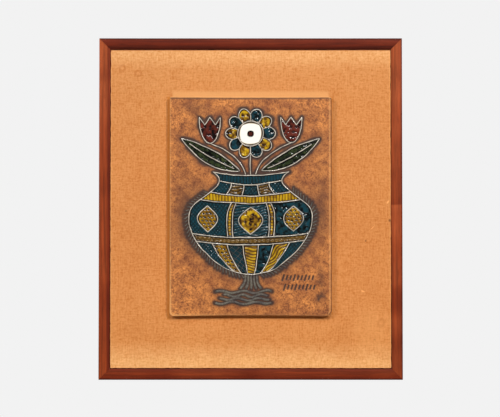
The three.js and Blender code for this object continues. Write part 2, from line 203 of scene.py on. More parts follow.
def skin(rings, closed=False):
    """Points and faces of a closed skin over rings of points (rings, around, 3), each ring running
    clockwise as seen along the path, with flat caps unless the rings close on themselves."""
    count, around = rings.shape[:2]
    index = np.arange(count * around).reshape(count, around)
    after = np.roll(index, -1, axis=1)
    ahead = np.roll(index, -1, axis=0)
    both = np.roll(ahead, -1, axis=1)
    quads = np.stack([index, after, both, ahead], -1)
    caps = []
    if not closed:
        quads = quads[:-1]
        caps = [index[0][::-1].tolist(), index[-1].tolist()]
    return rings.reshape(-1, 3), quads.reshape(-1, 4).tolist() + caps


def patch(x, y, height, floor):
    """Points and faces of a closed slab whose top is a grid of points (m, n) at the given heights,
    with a wall from its rim down to a flat floor."""
    middle = x.shape[0] // 2
    step = (x[middle, -1] - x[middle, 0], y[middle, -1] - y[middle, 0])
    side = (x[-1].mean() - x[0].mean(), y[-1].mean() - y[0].mean())
    if side[0] * step[1] - side[1] * step[0] < 0:
        x, y, height = x[::-1], y[::-1], height[::-1]
    m, n = x.shape
    top = np.stack([x, y, height], -1).reshape(-1, 3)
    index = np.arange(m * n).reshape(m, n)
    quads = np.stack([index[:-1, :-1], index[1:, :-1], index[1:, 1:], index[:-1, 1:]], -1)
    rim = np.concatenate([index[:-1, 0], index[-1, :-1], index[:0:-1, -1], index[0, :0:-1]])
    low = top[rim].copy()
    low[:, 2] = floor
    ring = m * n + np.arange(len(rim))
    walls = np.stack([rim, ring, np.roll(ring, -1), np.roll(rim, -1)], -1)
    faces = np.concatenate([quads.reshape(-1, 4), walls]).tolist() + [ring[::-1].tolist()]
    return np.concatenate([top, low]), faces


def joined(parts):
    """One list of points and one of faces from several."""
    points, faces, first = [], [], 0
    for some_points, some_faces in parts:
        points.append(some_points)
        faces += [[first + i for i in face] for face in some_faces]
        first += len(some_points)
    return np.concatenate(points), faces


def make_piece(name, points, faces, material, attributes, sharp=50):
    """A mesh object on the plaque's body, its place in its mesh, with named values at its points."""
    mesh = bpy.data.meshes.new(name)
    mesh.from_pydata(points.tolist(), [], faces)
    for key, values in attributes.items():
        values = np.asarray(values, np.float32)
        kind, field = ("FLOAT_VECTOR", "vector") if values.ndim == 2 else ("FLOAT", "value")
        mesh.attributes.new(key, kind, "POINT").data.foreach_set(field, values.ravel())
    mesh.shade_smooth()
    mesh.set_sharp_from_angle(angle=math.radians(sharp))
    mesh.materials.append(material)
    piece = bpy.data.objects.new(name, mesh)
    bpy.context.scene.collection.objects.link(piece)
    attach(piece, "root")
    return piece


def resampled(path, spacing, closed=False):
    """Points at an even spacing along a path."""
    path = np.concatenate([path, path[:1]]) if closed else np.asarray(path)
    gone = np.concatenate([[0], np.cumsum(np.linalg.norm(np.diff(path, axis=0), axis=1))])
    count = max(int(round(gone[-1] / spacing)), 2)
    at = np.linspace(0, gone[-1], count + 1)
    even = np.stack([np.interp(at, gone, path[:, k]) for k in range(2)], -1)
    return even[:-1] if closed else even


def trail(path, width, rise, base, closed=False, seed=0, spacing=0.8 * MM):
    """A half-round bead of clay along a path on the tile: a half ellipse set square to the path, its
    width and height wandering a little, its ends rounded off, mitred where the path turns."""
    path = resampled(path, spacing, closed)
    count = len(path)
    leaving = np.roll(path, -1, axis=0) - path
    if not closed:
        leaving[-1] = leaving[-2]
    leaving /= np.linalg.norm(leaving, axis=1)[:, None]
    arriving = np.roll(leaving, 1, axis=0)
    if not closed:
        arriving[0] = leaving[0]
    along = leaving + arriving
    along /= np.maximum(np.linalg.norm(along, axis=1), 1e-9)[:, None]
    mitre = 1 / np.clip((along * arriving).sum(1), 0.7, 1)
    left = np.stack([-along[:, 1], along[:, 0]], -1) * mitre[:, None]
    wander = value_noise(path[:, 0], path[:, 1], 3.1 * MM, 40 + seed)
    half = width / 2 * (1 + 0.13 * wander)
    top = rise * (1 + 0.1 * value_noise(path[:, 0], path[:, 1], 5.3 * MM, 80 + seed))
    if not closed:
        reach = np.minimum(np.arange(count), np.arange(count)[::-1]) * spacing / (width / 2)
        tip = np.sqrt(np.clip(1 - (1 - np.clip(reach, 0, 1)) ** 2, 0.06, 1))
        half, top = half * tip, top * (0.35 + 0.65 * tip)
    turn = np.linspace(math.pi, 0, 9)
    sunk = 0.6 * MM
    share = np.concatenate([[1], -np.cos(turn), [-1]])
    lift = np.concatenate([[0], np.sin(turn), [0]])
    rings = np.empty((count, len(share), 3))
    rings[:, :, :2] = path[:, None] + left[:, None] * (half[:, None] * share)[:, :, None]
    rings[:, :, 2] = base + top[:, None] * lift
    rings[:, [0, -1], 2] = base - sunk
    return skin(rings, closed)


# Relief, drawn as on the solid tile: u across and v up from the tile's middle


def relief_plan(sizes):
    """Every named place of the relief, from the tile's box and its bare borders."""
    low, high = TILE_BOX
    half_width, half_height = (high.x - low.x) / 2, (high.z - low.z) / 2
    plan = SimpleNamespace(half_width=half_width, half_height=half_height)
    plan.across = lambda share: share * (half_width - sizes.side_border)
    plan.up = lambda share: share * (half_height - sizes.end_border)
    across, up = plan.across, plan.up
    plan.foot = SimpleNamespace(half=across(0.3), at=up(-0.64))
    plan.belly = SimpleNamespace(half=across(0.87), at=up(-0.12))
    plan.neck = SimpleNamespace(half=across(0.44), at=up(0.26))
    plan.rim = SimpleNamespace(half=across(0.54), at=up(0.35))
    plan.sag = up(0.04)
    plan.petals_top = up(-0.35)
    plan.beads_top = up(-0.275)
    plan.belly_top = up(0.07)
    plan.belly_middle = (plan.beads_top + plan.belly_top) / 2
    plan.ridges_top = up(0.145)
    plan.petals = 7
    plan.stripes = (0.3, 0.39)
    plan.neck_lines = (0.22, 0.6)
    plan.blossom = SimpleNamespace(
        middle=np.array([0, up(0.735)]),
        eye=up(0.036),
        disc=up(0.13),
        cusp=up(0.19),
        tip=up(0.255),
        petals=10,
    )
    plan.tulip = SimpleNamespace(
        across=across(0.58), foot=up(0.635), height=up(0.26), half=across(0.15), notch=0.3
    )
    plan.leaf = SimpleNamespace(start=(0.16, 0.36), bend=(0.54, 0.46), end=(0.98, 0.68), half=across(0.1))
    plan.almond = SimpleNamespace(
        middle=(across(0.17), up(0.14)), side=(across(0.14), up(0.13)), share=0.7
    )
    plan.ground = SimpleNamespace(
        left=across(-0.5), right=across(0.3), top=up(-0.86), row=up(0.038), wave=up(0.012)
    )
    plan.back = high.y
    plan.middle_z = (low.z + high.z) / 2
    plan.face = sizes.tile_thickness
    return plan


def by_hand(points):
    """Points of the relief pushed about by slow noise, as a hand draws them."""
    x, y = points[:, 0], points[:, 1]
    drawn = points.copy()
    for axis in range(2):
        drawn[:, axis] += 0.9 * MM * value_noise(x, y, 27 * MM, 161 + axis)
        drawn[:, axis] += 0.35 * MM * value_noise(x, y, 8 * MM, 163 + axis)
    return drawn


def on_tile(plan, points):
    """Points given across, up and out from the tile's back, in the plaque's own frame."""
    return np.stack([points[:, 0], plan.back - points[:, 2], plan.middle_z + points[:, 1]], -1)


def pot_half(plan, level):
    """The pot's half width at a level: a full quarter wave from foot to belly, half a wave from
    belly to neck, and a parabola out to the rim."""
    foot, belly, neck, rim = plan.foot, plan.belly, plan.neck, plan.rim
    below = np.clip((belly.at - level) / (belly.at - foot.at), 0, 1)
    bottom = foot.half + (belly.half - foot.half) * np.maximum(np.cos(below * math.pi / 2), 0) ** 0.78
    above = np.clip((level - belly.at) / (neck.at - belly.at), 0, 1) ** 1.25
    shoulder = neck.half + (belly.half - neck.half) * (1 + np.cos(above * math.pi)) / 2
    flare = neck.half + (rim.half - neck.half) * np.clip((level - neck.at) / (rim.at - neck.at), 0, 1) ** 2
    return np.where(level <= belly.at, bottom, np.where(level <= neck.at, shoulder, flare))


def on_pot(plan, share, level):
    """Place on the pot of a share of its half width and a level, where level lines sag like hoops."""
    share, level = np.broadcast_arrays(np.asarray(share, float), np.asarray(level, float))
    return share * pot_half(plan, level), level - plan.sag * (1 - share * share)


def up_pot(plan, share, start, end, count=40):
    """A line up the pot at a share of its half width."""
    return np.stack(on_pot(plan, share, np.linspace(start, end, count)), -1)


def round_pot(plan, level, start, end, count=60):
    """A line round the pot at a level, between two shares of its half width."""
    return np.stack(on_pot(plan, np.linspace(start, end, count), level), -1)


def pot_outline(plan):
    """The pot's outline, round from the left of its foot."""
    foot, rim = plan.foot.at, plan.rim.at
    sides = [
        round_pot(plan, foot, -1, 1),
        up_pot(plan, 1, foot, rim, 160)[1:],
        round_pot(plan, rim, 1, -1)[1:],
        up_pot(plan, -1, rim, foot, 160)[1:-1],
    ]
    return np.concatenate(sides)


def almond(middle, half_width, half_height, count=40):
    """A pointed oval standing upright: each side one arch of a sine wave."""
    t = np.linspace(0, 1, count, endpoint=False)
    side = np.stack([half_width * np.sin(t * math.pi), half_height * (2 * t - 1)], -1)
    return np.concatenate([side, -side]) + np.asarray(middle)


def circle(middle, radius, count=60):
    """Points round a circle."""
    angle = np.linspace(0, TAU, count, endpoint=False)
    return np.stack([np.cos(angle), np.sin(angle)], -1) * radius + np.asarray(middle)


def blossom_place(plan, angle, radius):
    """Place at an angle from upright and a radius about the blossom's middle."""
    middle = plan.blossom.middle
    return middle[0] + radius * np.sin(angle), middle[1] + radius * np.cos(angle)


def blossom_edge(plan, angle):
    """The blossom's radius at an angle: it swells as a sine arch over each petal."""
    swell = np.abs(np.sin(angle * plan.blossom.petals / 2)) ** 0.7
    return plan.blossom.cusp + (plan.blossom.tip - plan.blossom.cusp) * swell


def blossom_outline(plan):
    """The blossom's scalloped edge."""
    angle = -np.linspace(0, TAU, 400, endpoint=False)
    return np.stack(blossom_place(plan, angle, blossom_edge(plan, angle)), -1)


def tulip_place(plan, side, share, rise):
    """A cup whose half width is a quarter ellipse of its height, its top edge in three points."""
    share, rise = np.broadcast_arrays(np.asarray(share, float), np.asarray(rise, float))
    tulip = plan.tulip
    wave = np.abs(2 * np.abs(share) - 1)
    top = tulip.height * (1 - tulip.notch * (1 - wave))
    half = tulip.half * np.sqrt(1 - (1 - rise) ** 2)
    return side * tulip.across + share * half, tulip.foot + rise * top


def tulip_outline(plan, side):
    """The tulip's edge, up one side, along its points and down the other."""
    rise = np.linspace(0.001, 1, 30)
    crown = np.linspace(1, -1, 41)[1:-1]
    edges = [
        tulip_place(plan, side, 1, rise),
        tulip_place(plan, side, crown, 1),
        tulip_place(plan, side, -1, rise[::-1]),
    ]
    return np.concatenate([np.stack(edge, -1) for edge in edges])


def curve(start, bend, end, t):
    """A curve from start to end with one bend: the blend of two moving points."""
    t = np.asarray(t)[..., None]
    return (1 - t) ** 2 * np.asarray(start) + 2 * t * (1 - t) * np.asarray(bend) + t**2 * np.asarray(end)


def leaf_place(plan, side, share, along):
    """A leaf about a bent spine, its half width a sine arch along the spine."""
    share, along = np.broadcast_arrays(np.asarray(share, float), np.asarray(along, float))
    scale = np.array([side * plan.across(1), plan.up(1)])
    leaf = plan.leaf
    start, bend, end = (np.array(corner) * scale for corner in (leaf.start, leaf.bend, leaf.end))
    spine = curve(start, bend, end, along)
    heading = 2 * (1 - along)[..., None] * (bend - start) + 2 * along[..., None] * (end - bend)
    heading /= np.linalg.norm(heading, axis=-1, keepdims=True)
    half = leaf.half * np.sin(np.clip(along, 0, 1) * math.pi) ** 0.8 * share
    return spine[..., 0] - side * half * heading[..., 1], spine[..., 1] + side * half * heading[..., 0]


def leaf_outline(plan, side):
    """The leaf's edge, out along one side and back along the other."""
    t = np.linspace(0.001, 0.999, 60)
    edges = [leaf_place(plan, side, 1, t), leaf_place(plan, side, -1, t[::-1])]
    return np.concatenate([np.stack(edge, -1) for edge in edges])


def stem_path(plan, side):
    """A bent stem from the pot's mouth to the tulip."""
    root = (side * plan.across(0.07), plan.up(0.315))
    bend = (side * plan.across(0.14), plan.up(0.52))
    tip = (side * plan.tulip.across, plan.tulip.foot)
    return curve(root, bend, tip, np.linspace(0, 1, 40))


def fringe_paths(plan, sizes):
    """Short slanted strokes at an even pitch round the pot's outline, except at its foot."""
    start = plan.belly_top + plan.up(0.06)
    path = np.concatenate([
        up_pot(plan, -1, start, plan.foot.at, 300),
        round_pot(plan, plan.foot.at, -1, 1, 120)[1:-1],
        up_pot(plan, 1, plan.foot.at, start, 300),
    ])
    path = resampled(path, sizes.fringe_pitch)
    along = np.gradient(path, axis=0)
    along /= np.linalg.norm(along, axis=1)[:, None]
    out = np.stack([along[:, 1], -along[:, 0]], -1)
    roots = path + out * sizes.line_width * 0.65
    jitter = 1 + 0.12 * np.random.default_rng(5).uniform(-1, 1, (len(path), 1))
    tips = roots + (0.8 * out + 0.6 * along) * sizes.fringe_length * jitter
    bends = (roots + tips) / 2 + along * sizes.fringe_length * 0.1
    keep = np.abs(path[:, 0]) > plan.across(0.1)
    t = np.linspace(0, 1, 6)
    return [curve(*ends, t) for ends in zip(roots[keep], bends[keep], tips[keep])]


def foot_paths(plan):
    """A fluted foot that spreads towards the ground, and rows of wavy ground strokes."""
    paths = []
    t = np.linspace(0, 1, 30)
    for share in range(-2, 3):
        spread = share * plan.across(1) * (0.04 + 0.035 * t**3)
        paths.append(np.stack([spread, plan.up(-0.685 - 0.145 * t)], -1))
    ground = plan.ground
    for row in range(4):
        inset = (row * 2) % 3 * plan.across(0.06)
        left, right = ground.left + inset, ground.right - inset / 2
        level = ground.top - row * ground.row + ground.wave * np.sin(t * 5 * math.pi + row)
        paths.append(np.stack([left + (right - left) * t, level], -1))
    return paths


def scratch_segments(plan):
    """Two rows of plain slanted scratches in the lower right corner, every third one longer, as
    pairs of ends."""
    segments = []
    lean = np.array([math.sin(0.3), math.cos(0.3)])
    for row in range(2):
        for k in range(9):
            half = plan.up(0.055 if k % 3 == 0 else 0.035) / 2
            x = plan.across(0.46 + 0.42 * k / 8 + 0.02 * row)
            middle = np.array([x, plan.up(-0.72 - 0.095 * row)])
            segments.append((middle - lean * half, middle + lean * half))
    return segments


def hatching_paths(plan, k=2, count=6, lean=0.42):
    """Two crossing sets of thin lines over one of the pot's lower petals."""
    place = petal_pool(plan, k)
    paths = []
    for start in np.linspace(-lean, 1, count + 2)[1:-1]:
        for slope in (lean, -lean):
            s = np.linspace(0.04, 0.96, 24)
            t = (start if slope > 0 else start + lean) + slope * s
            keep = (t > 0.05) & (t < 0.96)
            if keep.sum() > 3:
                paths.append(np.stack(place(s[keep], t[keep]), -1))
    return paths


def slip_paths(plan):
    """Every trailed line of pale clay, as (path, whether it closes)."""
    foot, rim, belly_middle = plan.foot, plan.rim, plan.belly_middle
    lines = [(pot_outline(plan), True)]
    for level in (plan.petals_top, plan.beads_top, plan.belly_top, plan.ridges_top, plan.neck.at):
        lines.append((round_pot(plan, level, -1, 1), False))
    for k in range(1, plan.petals):
        lines.append((up_pot(plan, 2 * k / plan.petals - 1, foot.at, plan.petals_top), False))
    for side in (-1, 1):
        for share in plan.stripes:
            lines.append((up_pot(plan, side * share, plan.beads_top, plan.belly_top), False))
        for share in plan.neck_lines:
            lines.append((up_pot(plan, side * share, plan.ridges_top, plan.neck.at), False))
        oval_middle = on_pot(plan, side * plan.almond.share, belly_middle)
        lines.append((almond(oval_middle, *plan.almond.side), True))
        lines.append((stem_path(plan, side), False))
        lines.append((tulip_outline(plan, side), True))
        lines.append((leaf_outline(plan, side), True))
        rib = np.stack(leaf_place(plan, side, 0, np.linspace(0.1, 0.88, 40)), -1)
        lines.append((rib, False))
    lines.append((almond(on_pot(plan, 0, belly_middle), *plan.almond.middle), True))
    blossom = plan.blossom
    stalk_top = blossom.middle - (0, blossom.cusp)
    lines.append((np.array([np.stack(on_pot(plan, 0, rim.at), -1), stalk_top]), False))
    lines.append((circle(blossom.middle, blossom.disc), True))
    lines.append((blossom_outline(plan), True))
    for k in range(blossom.petals):
        angle = TAU * k / blossom.petals
        radii = np.array([blossom.disc, blossom.cusp])
        lines.append((np.stack(blossom_place(plan, angle, radii), -1), False))
    return lines


# Textures pressed into the glazed fields, each a height in metres at places given in metres


def dimples(x, y, pitch=5.2 * MM, depth=0.5 * MM):
    """Round hollows on a slanted lattice, warped so that no two rows run straight."""
    x = x + 1.1 * MM * value_noise(x, y, 7 * MM, 11)
    y = y + 1.1 * MM * value_noise(x, y, 7 * MM, 12)
    waves = np.cos(TAU * (x + 0.5 * y) / pitch) + np.cos(TAU * y / (0.9 * pitch))
    return -depth * np.clip((waves - 0.2) / 1.4, 0, 1) ** 0.8


def combed(x, y, pitch=3.8 * MM, depth=0.22 * MM):
    """Wavy horizontal ridges, as a comb leaves them."""
    drift = 1.4 * MM * np.sin(x / (4.5 * MM)) + 1.2 * MM * value_noise(x, y, 9 * MM, 21)
    return depth * np.cos(TAU * (y + drift) / pitch)


def netted(x, y, pitch=4.6 * MM, depth=0.3 * MM):
    """Small lumps between two crossing sets of slanted hollows."""
    drift = 0.9 * MM * value_noise(x, y, 7 * MM, 31)
    one = np.cos(math.pi * (x + 0.8 * y + drift) / pitch)
    other = np.cos(math.pi * (x - 0.8 * y - drift) / pitch)
    return depth * (1.6 * np.abs(one * other) - 0.6)


def barred(x, y, pitch=4.0 * MM, depth=0.55 * MM):
    """Short upright bars pressed side by side."""
    drift = 0.6 * MM * value_noise(x, y, 8 * MM, 41)
    return depth * (np.abs(np.cos(math.pi * (x + drift) / pitch)) ** 0.6 - 0.6)


def ringed(x, y, pitch=5.8 * MM, depth=0.6 * MM):
    """Small rings stamped on a lattice: a raised circle about each lattice point."""
    row = np.round(y / pitch)
    nearest_x = (np.round(x / pitch - 0.5 * (row % 2)) + 0.5 * (row % 2)) * pitch
    away = np.hypot(x - nearest_x, y - row * pitch)
    return depth * bell(away - 1.35 * MM, 0.5 * MM)


def hammered(x, y, size=3.4 * MM, depth=0.42 * MM):
    """Uneven dabs, as of a stiff brush."""
    return depth * layered_noise(x, y, size, 51, 2)


def smooth(x, y):
    """A nearly flat pool."""
    return 0.05 * MM * value_noise(x, y, 9 * MM, 61)


# A pool's height above the clay, how far it climbs the lines round it, the size of its grid, and
# the gap left between it and the middle of those lines.
POOL_LEVEL = 0.75 * MM
POOL_CLIMB = 0.45 * MM
POOL_GRID = 0.6 * MM
POOL_GAP = 0.3 * MM

# How much higher the ovals' pools stand than the fields round them.
OVAL_LIFT = 0.25 * MM


def pool_spans(place):
    """The greatest width and height of a pool, each measured along three of its lines."""
    def length(s, t):
        x, y = place(s, t)
        return np.hypot(np.diff(x), np.diff(y)).sum()
    even = np.linspace(0, 1, 30)
    levels = [np.full(30, level) for level in (0.02, 0.5, 0.98)]
    return max(length(even, level) for level in levels), max(length(level, even) for level in levels)


def pool_lines(span):
    """Shares of a pool's span at which its grid has lines."""
    margin = min(POOL_GAP / span, 0.2)
    return np.linspace(margin, 1 - margin, max(int(span / POOL_GRID), 4) + 1)


def glazed(plan, place, texture, lift=0.0, turn=0.0):
    """One pool of glaze. place(s, t) gives its points for s and t from 0 to 1. Its surface is the texture,
    and it climbs the lines around it as the inverse exponential of the distance to its edge. A pool
    without lift is left out under the ovals. Returns the patch and, at each point, how high the glaze
    stands in it, which falls to 0 next to the lines to give a dark contour, partly painted shade."""
    wide, tall = pool_spans(place)
    s, t = np.meshgrid(pool_lines(wide), pool_lines(tall), indexing="ij")
    x, y = place(s, t)
    edge = np.minimum(np.minimum(s, 1 - s) * wide, np.minimum(t, 1 - t) * tall)
    across = x * math.cos(turn) + y * math.sin(turn)
    up = y * math.cos(turn) - x * math.sin(turn)
    pressed = texture(across, up) * np.clip(edge / (1.4 * MM), 0, 1)
    level = plan.face + POOL_LEVEL + lift
    height = level + pressed + POOL_CLIMB * fading(edge, 0.7 * MM)
    height += 0.05 * MM * value_noise(x, y, 2.2 * MM, 71)
    if not lift:
        height = np.where(under_ovals(plan, x, y), plan.face + 0.1 * MM, height)
    points, faces = patch(x, y, height, plan.face - 0.5 * MM)
    # Beside the trailed lines the shade falls to 0, a dark contour in the groove: partly the glaze's dark
    # edge, partly painted shade.
    off_line = np.clip((edge - 1.75 * MM) / (1.0 * MM), 0, 1)
    shade = np.clip(0.55 + pressed / (0.7 * MM), 0, 1) * off_line
    flipped = not np.allclose(points[0, :2], (x[0, 0], y[0, 0]))
    shade = (shade[::-1] if flipped else shade).ravel()
    return points, faces, np.concatenate([shade, np.zeros(len(points) - len(shade))])


def under_ovals(plan, x, y):
    """Where a pointed oval covers the pot: inside the two sine arches of any of the three."""
    covered = np.zeros(x.shape, bool)
    for share, size in ((-plan.almond.share, "side"), (0, "middle"), (plan.almond.share, "side")):
        middle = on_pot(plan, share, plan.belly_middle)
        half_width, half_height = getattr(plan.almond, size)
        along = np.clip((y - middle[1]) / half_height, -1, 1)
        covered |= np.abs(x - middle[0]) < half_width * np.cos(along * math.pi / 2)
    return covered


def pot_field(plan, left, right, low, high):
    """Places of a field of the pot between two shares of its half width and two levels."""
    return lambda s, t: on_pot(plan, left + (right - left) * s, low + (high - low) * t)


def petal_pool(plan, k):
    """Places of one of the petals that rise from the pot's foot."""
    left, right = 2 * k / plan.petals - 1, 2 * (k + 1) / plan.petals - 1
    return pot_field(plan, left, right, plan.foot.at, plan.petals_top)


def oval_field(middle, half_width, half_height):
    """Places inside an upright pointed oval."""
    def place(s, t):
        share = np.sin(t * math.pi) * (2 * s - 1)
        return middle[0] + half_width * share, middle[1] + half_height * (2 * t - 1)
    return place


def disc_field(middle, radius):
    """Places inside a disc, a square grid bent into it."""
    def place(s, t):
        a, b = 2 * s - 1, 2 * t - 1
        x, y = a * np.sqrt(1 - b * b / 2), b * np.sqrt(1 - a * a / 2)
        return middle[0] + radius * x, middle[1] + radius * y
    return place


def petal_field(plan, k):
    """Places inside one of the blossom's petals."""
    def place(s, t):
        angle = TAU * (k + s) / plan.blossom.petals
        radius = plan.blossom.disc + (blossom_edge(plan, angle) - plan.blossom.disc) * t
        return blossom_place(plan, angle, radius)
    return place


def tulip_field(plan, side):
    """Places inside the tulip on one side."""
    return lambda s, t: tulip_place(plan, side, 2 * s - 1, t)


def half_leaf_field(plan, side, half):
    """Places inside the upper or lower half of the leaf on one side."""
    return lambda s, t: leaf_place(plan, side, half * s, t)


# The texture of each petal at the pot's foot, and how far it is turned, in radians.
PETAL_TEXTURES = (
    (netted, 0), (dimples, 0), (smooth, 0), (combed, 0), (hammered, 0), (combed, 0.7), (netted, 0)
)


def belly_pools(plan):
    """The pools of the pot's belly: plain fields, striped ones between the upright lines, and ovals."""
    near, far = plan.stripes
    low, high = plan.beads_top, plan.belly_top
    oval = plan.almond
    yield "teal", pot_field(plan, -near, near, low, high), combed, 0, 0
    for side in (-1, 1):
        yield "mustard", pot_field(plan, side * near, side * far, low, high), barred, 0, math.pi / 2
        texture = netted if side < 0 else hammered
        yield "teal", pot_field(plan, side * far, side, low, high), texture, 0, 0
        middle = on_pot(plan, side * oval.share, plan.belly_middle)
        yield "mustard", oval_field(middle, *oval.side), dimples, OVAL_LIFT, 0
    middle = on_pot(plan, 0, plan.belly_middle)
    yield "mustard", oval_field(middle, *oval.middle), hammered, OVAL_LIFT, 0


def pot_pools(plan):
    """The pools of the pot, from its foot to its rim."""
    for k, (texture, turn) in enumerate(PETAL_TEXTURES):
        yield ("mustard" if k % 2 else "teal"), petal_pool(plan, k), texture, 0, turn
    yield "amber", pot_field(plan, -1, 1, plan.petals_top, plan.beads_top), ringed, 0, 0
    yield from belly_pools(plan)
    yield "mustard", pot_field(plan, -1, 1, plan.belly_top, plan.ridges_top), barred, 0, 0
    inner, outer = plan.neck_lines
    edges = (-1, -outer, -inner, inner, outer, 1)
    for k, (left, right) in enumerate(zip(edges, edges[1:])):
        glaze, texture = ("amber", combed) if k % 2 else ("teal", netted)
        yield glaze, pot_field(plan, left, right, plan.ridges_top, plan.neck.at), texture, 0, 0
    yield "teal", pot_field(plan, -1, 1, plan.neck.at, plan.rim.at), barred, 0, 0


def flower_pools(plan):
    """The pools of the blossom, the tulips and the leaves."""
    blossom = plan.blossom
    for k in range(blossom.petals):
        yield ("mustard" if k % 2 else "teal"), petal_field(plan, k), hammered, 0, 0
    disc = blossom.disc - 0.7 * MM
    yield "white", disc_field(blossom.middle, disc), smooth, 0.15 * MM, 0
    yield "red", disc_field(blossom.middle, blossom.eye), smooth, 0.7 * MM, 0
    for side in (-1, 1):
        yield "red", tulip_field(plan, side), hammered, 0, 0
        for half in (-1, 1):
            yield "green", half_leaf_field(plan, side, half), hammered, 0, 0


def pools_of(plan, wanted):
    """The pools of one glaze, as (places, texture, lift, turn)."""
    every = [*pot_pools(plan), *flower_pools(plan)]
    return [pool for glaze, *pool in every if glaze == wanted]


# Shader parts


def fill(tree, socket, value):
    """Links a socket to another node's output, or sets its value, a colour being opaque."""
    if isinstance(value, bpy.types.NodeSocket):
        tree.links.new(value, socket)
    elif socket.type == "RGBA":
        socket.default_value = (*value[:3], 1)
    else:
        socket.default_value = value


def node(tree, kind, inputs=None, **settings):
    """A shader node with its settings, and its inputs given as values or as other nodes' outputs."""
    made = tree.nodes.new(kind)
    for key, value in settings.items():
        setattr(made, key, value)
    for key, value in (inputs or {}).items():
        fill(tree, made.inputs[key], value)
    return made


def ramp(tree, factor, stops):
    """Colours or greys blended along a factor, from (place, colour or grey) stops."""
    made = node(tree, "ShaderNodeValToRGB", {"Fac": factor})
    elements = made.color_ramp.elements
    while len(elements) < len(stops):
        elements.new(0.5)
    for element, (place, colour) in zip(elements, stops):
        element.position = place
        element.color = (*colour[:3], 1) if hasattr(colour, "__len__") else (*[colour] * 3, 1)
    return made.outputs["Color"]


def noise(tree, coordinates, scale, detail=3, roughness=0.55, distortion=0.0):
    """Cloudy random grey from 0 to 1."""
    values = {"Scale": scale, "Detail": detail, "Roughness": roughness, "Distortion": distortion}
    return node(tree, "ShaderNodeTexNoise", {"Vector": coordinates, **values}).outputs["Fac"]


def stretched(tree, coordinates, scale, place=(0, 0, 0)):
    """Coordinates scaled along each axis, for grain and threads."""
    values = {"Vector": coordinates, "Scale": scale, "Location": place}
    return node(tree, "ShaderNodeMapping", values).outputs[0]


def mixed(tree, factor, one, other, blend="MIX"):
    """One colour blended into another by a factor."""
    made = node(tree, "ShaderNodeMix", data_type="RGBA", blend_type=blend)
    for socket, value in zip((made.inputs[0], made.inputs[6], made.inputs[7]), (factor, one, other)):
        fill(tree, socket, value)
    return made.outputs[2]


def tempered(tree, base, change):
    """A colour multiplied by another."""
    return mixed(tree, 1.0, base, change, "MULTIPLY")


def maths(tree, operation, one, other=0.0, clamp=False):
    """A sum, product or the like of two values."""
    inputs = {0: one, 1: other}
    return node(tree, "ShaderNodeMath", inputs, operation=operation, use_clamp=clamp).outputs[0]


def plus(tree, one, other):
    """The sum of two values."""
    return maths(tree, "ADD", one, other)


def minus(tree, one, other):
    """The second value taken from the first."""
    return maths(tree, "SUBTRACT", one, other)


def times(tree, one, other):
    """The product of two values."""
    return maths(tree, "MULTIPLY", one, other)


def attribute(tree, name, output="Fac"):
    """The values that a piece keeps at its points under a name."""
    return node(tree, "ShaderNodeAttribute", attribute_name=name).outputs[output]


def new_group(name, inputs, outputs):
    """An empty node group with sockets given as {name: (kind, default)}."""
    group = bpy.data.node_groups.new(name, "ShaderNodeTree")
    for key, (kind, default) in inputs.items():
        socket = group.interface.new_socket(key, in_out="INPUT", socket_type=kind)
        if default is not None:
            socket.default_value = default
    for key, kind in outputs.items():
        group.interface.new_socket(key, in_out="OUTPUT", socket_type=kind)
    given, out = group.nodes.new("NodeGroupInput"), group.nodes.new("NodeGroupOutput")
    return group, given.outputs, out.inputs


def made_once(name):
    """Marks a builder of a node group: the group is built once and found by its name after that."""
    def mark(build):
        return lambda: bpy.data.node_groups.get(name) or build()
    return mark


@made_once("mottle")
def mottle_group():
    """Cloudy change from one colour to another, with specks of a third."""
    sockets = {
        "Vector": ("NodeSocketVector", None),
        "One": ("NodeSocketColor", (1, 1, 1, 1)),
        "Other": ("NodeSocketColor", (0, 0, 0, 1)),
        "Specks": ("NodeSocketColor", (0, 0, 0, 1)),
        "Scale": ("NodeSocketFloat", 40.0),
        "Speck share": ("NodeSocketFloat", 0.3),
    }
    outputs = {"Color": "NodeSocketColor", "Height": "NodeSocketFloat"}
    group, given, out = new_group("mottle", sockets, outputs)
    broad = noise(group, given["Vector"], given["Scale"], 5, 0.62)
    clouds = ramp(group, broad, [(0.36, 0.0), (0.64, 1.0)])
    fine_scale = times(group, given["Scale"], 9.0)
    fine = noise(group, given["Vector"], fine_scale, 3, 0.7)
    specks = ramp(group, fine, [(0.3, 1.0), (0.42, 0.0)])
    cloudy = mixed(group, clouds, given["One"], given["Other"])
    amount = times(group, specks, given["Speck share"])
    group.links.new(mixed(group, amount, cloudy, given["Specks"]), out["Color"])
    group.links.new(fine, out["Height"])
    return group


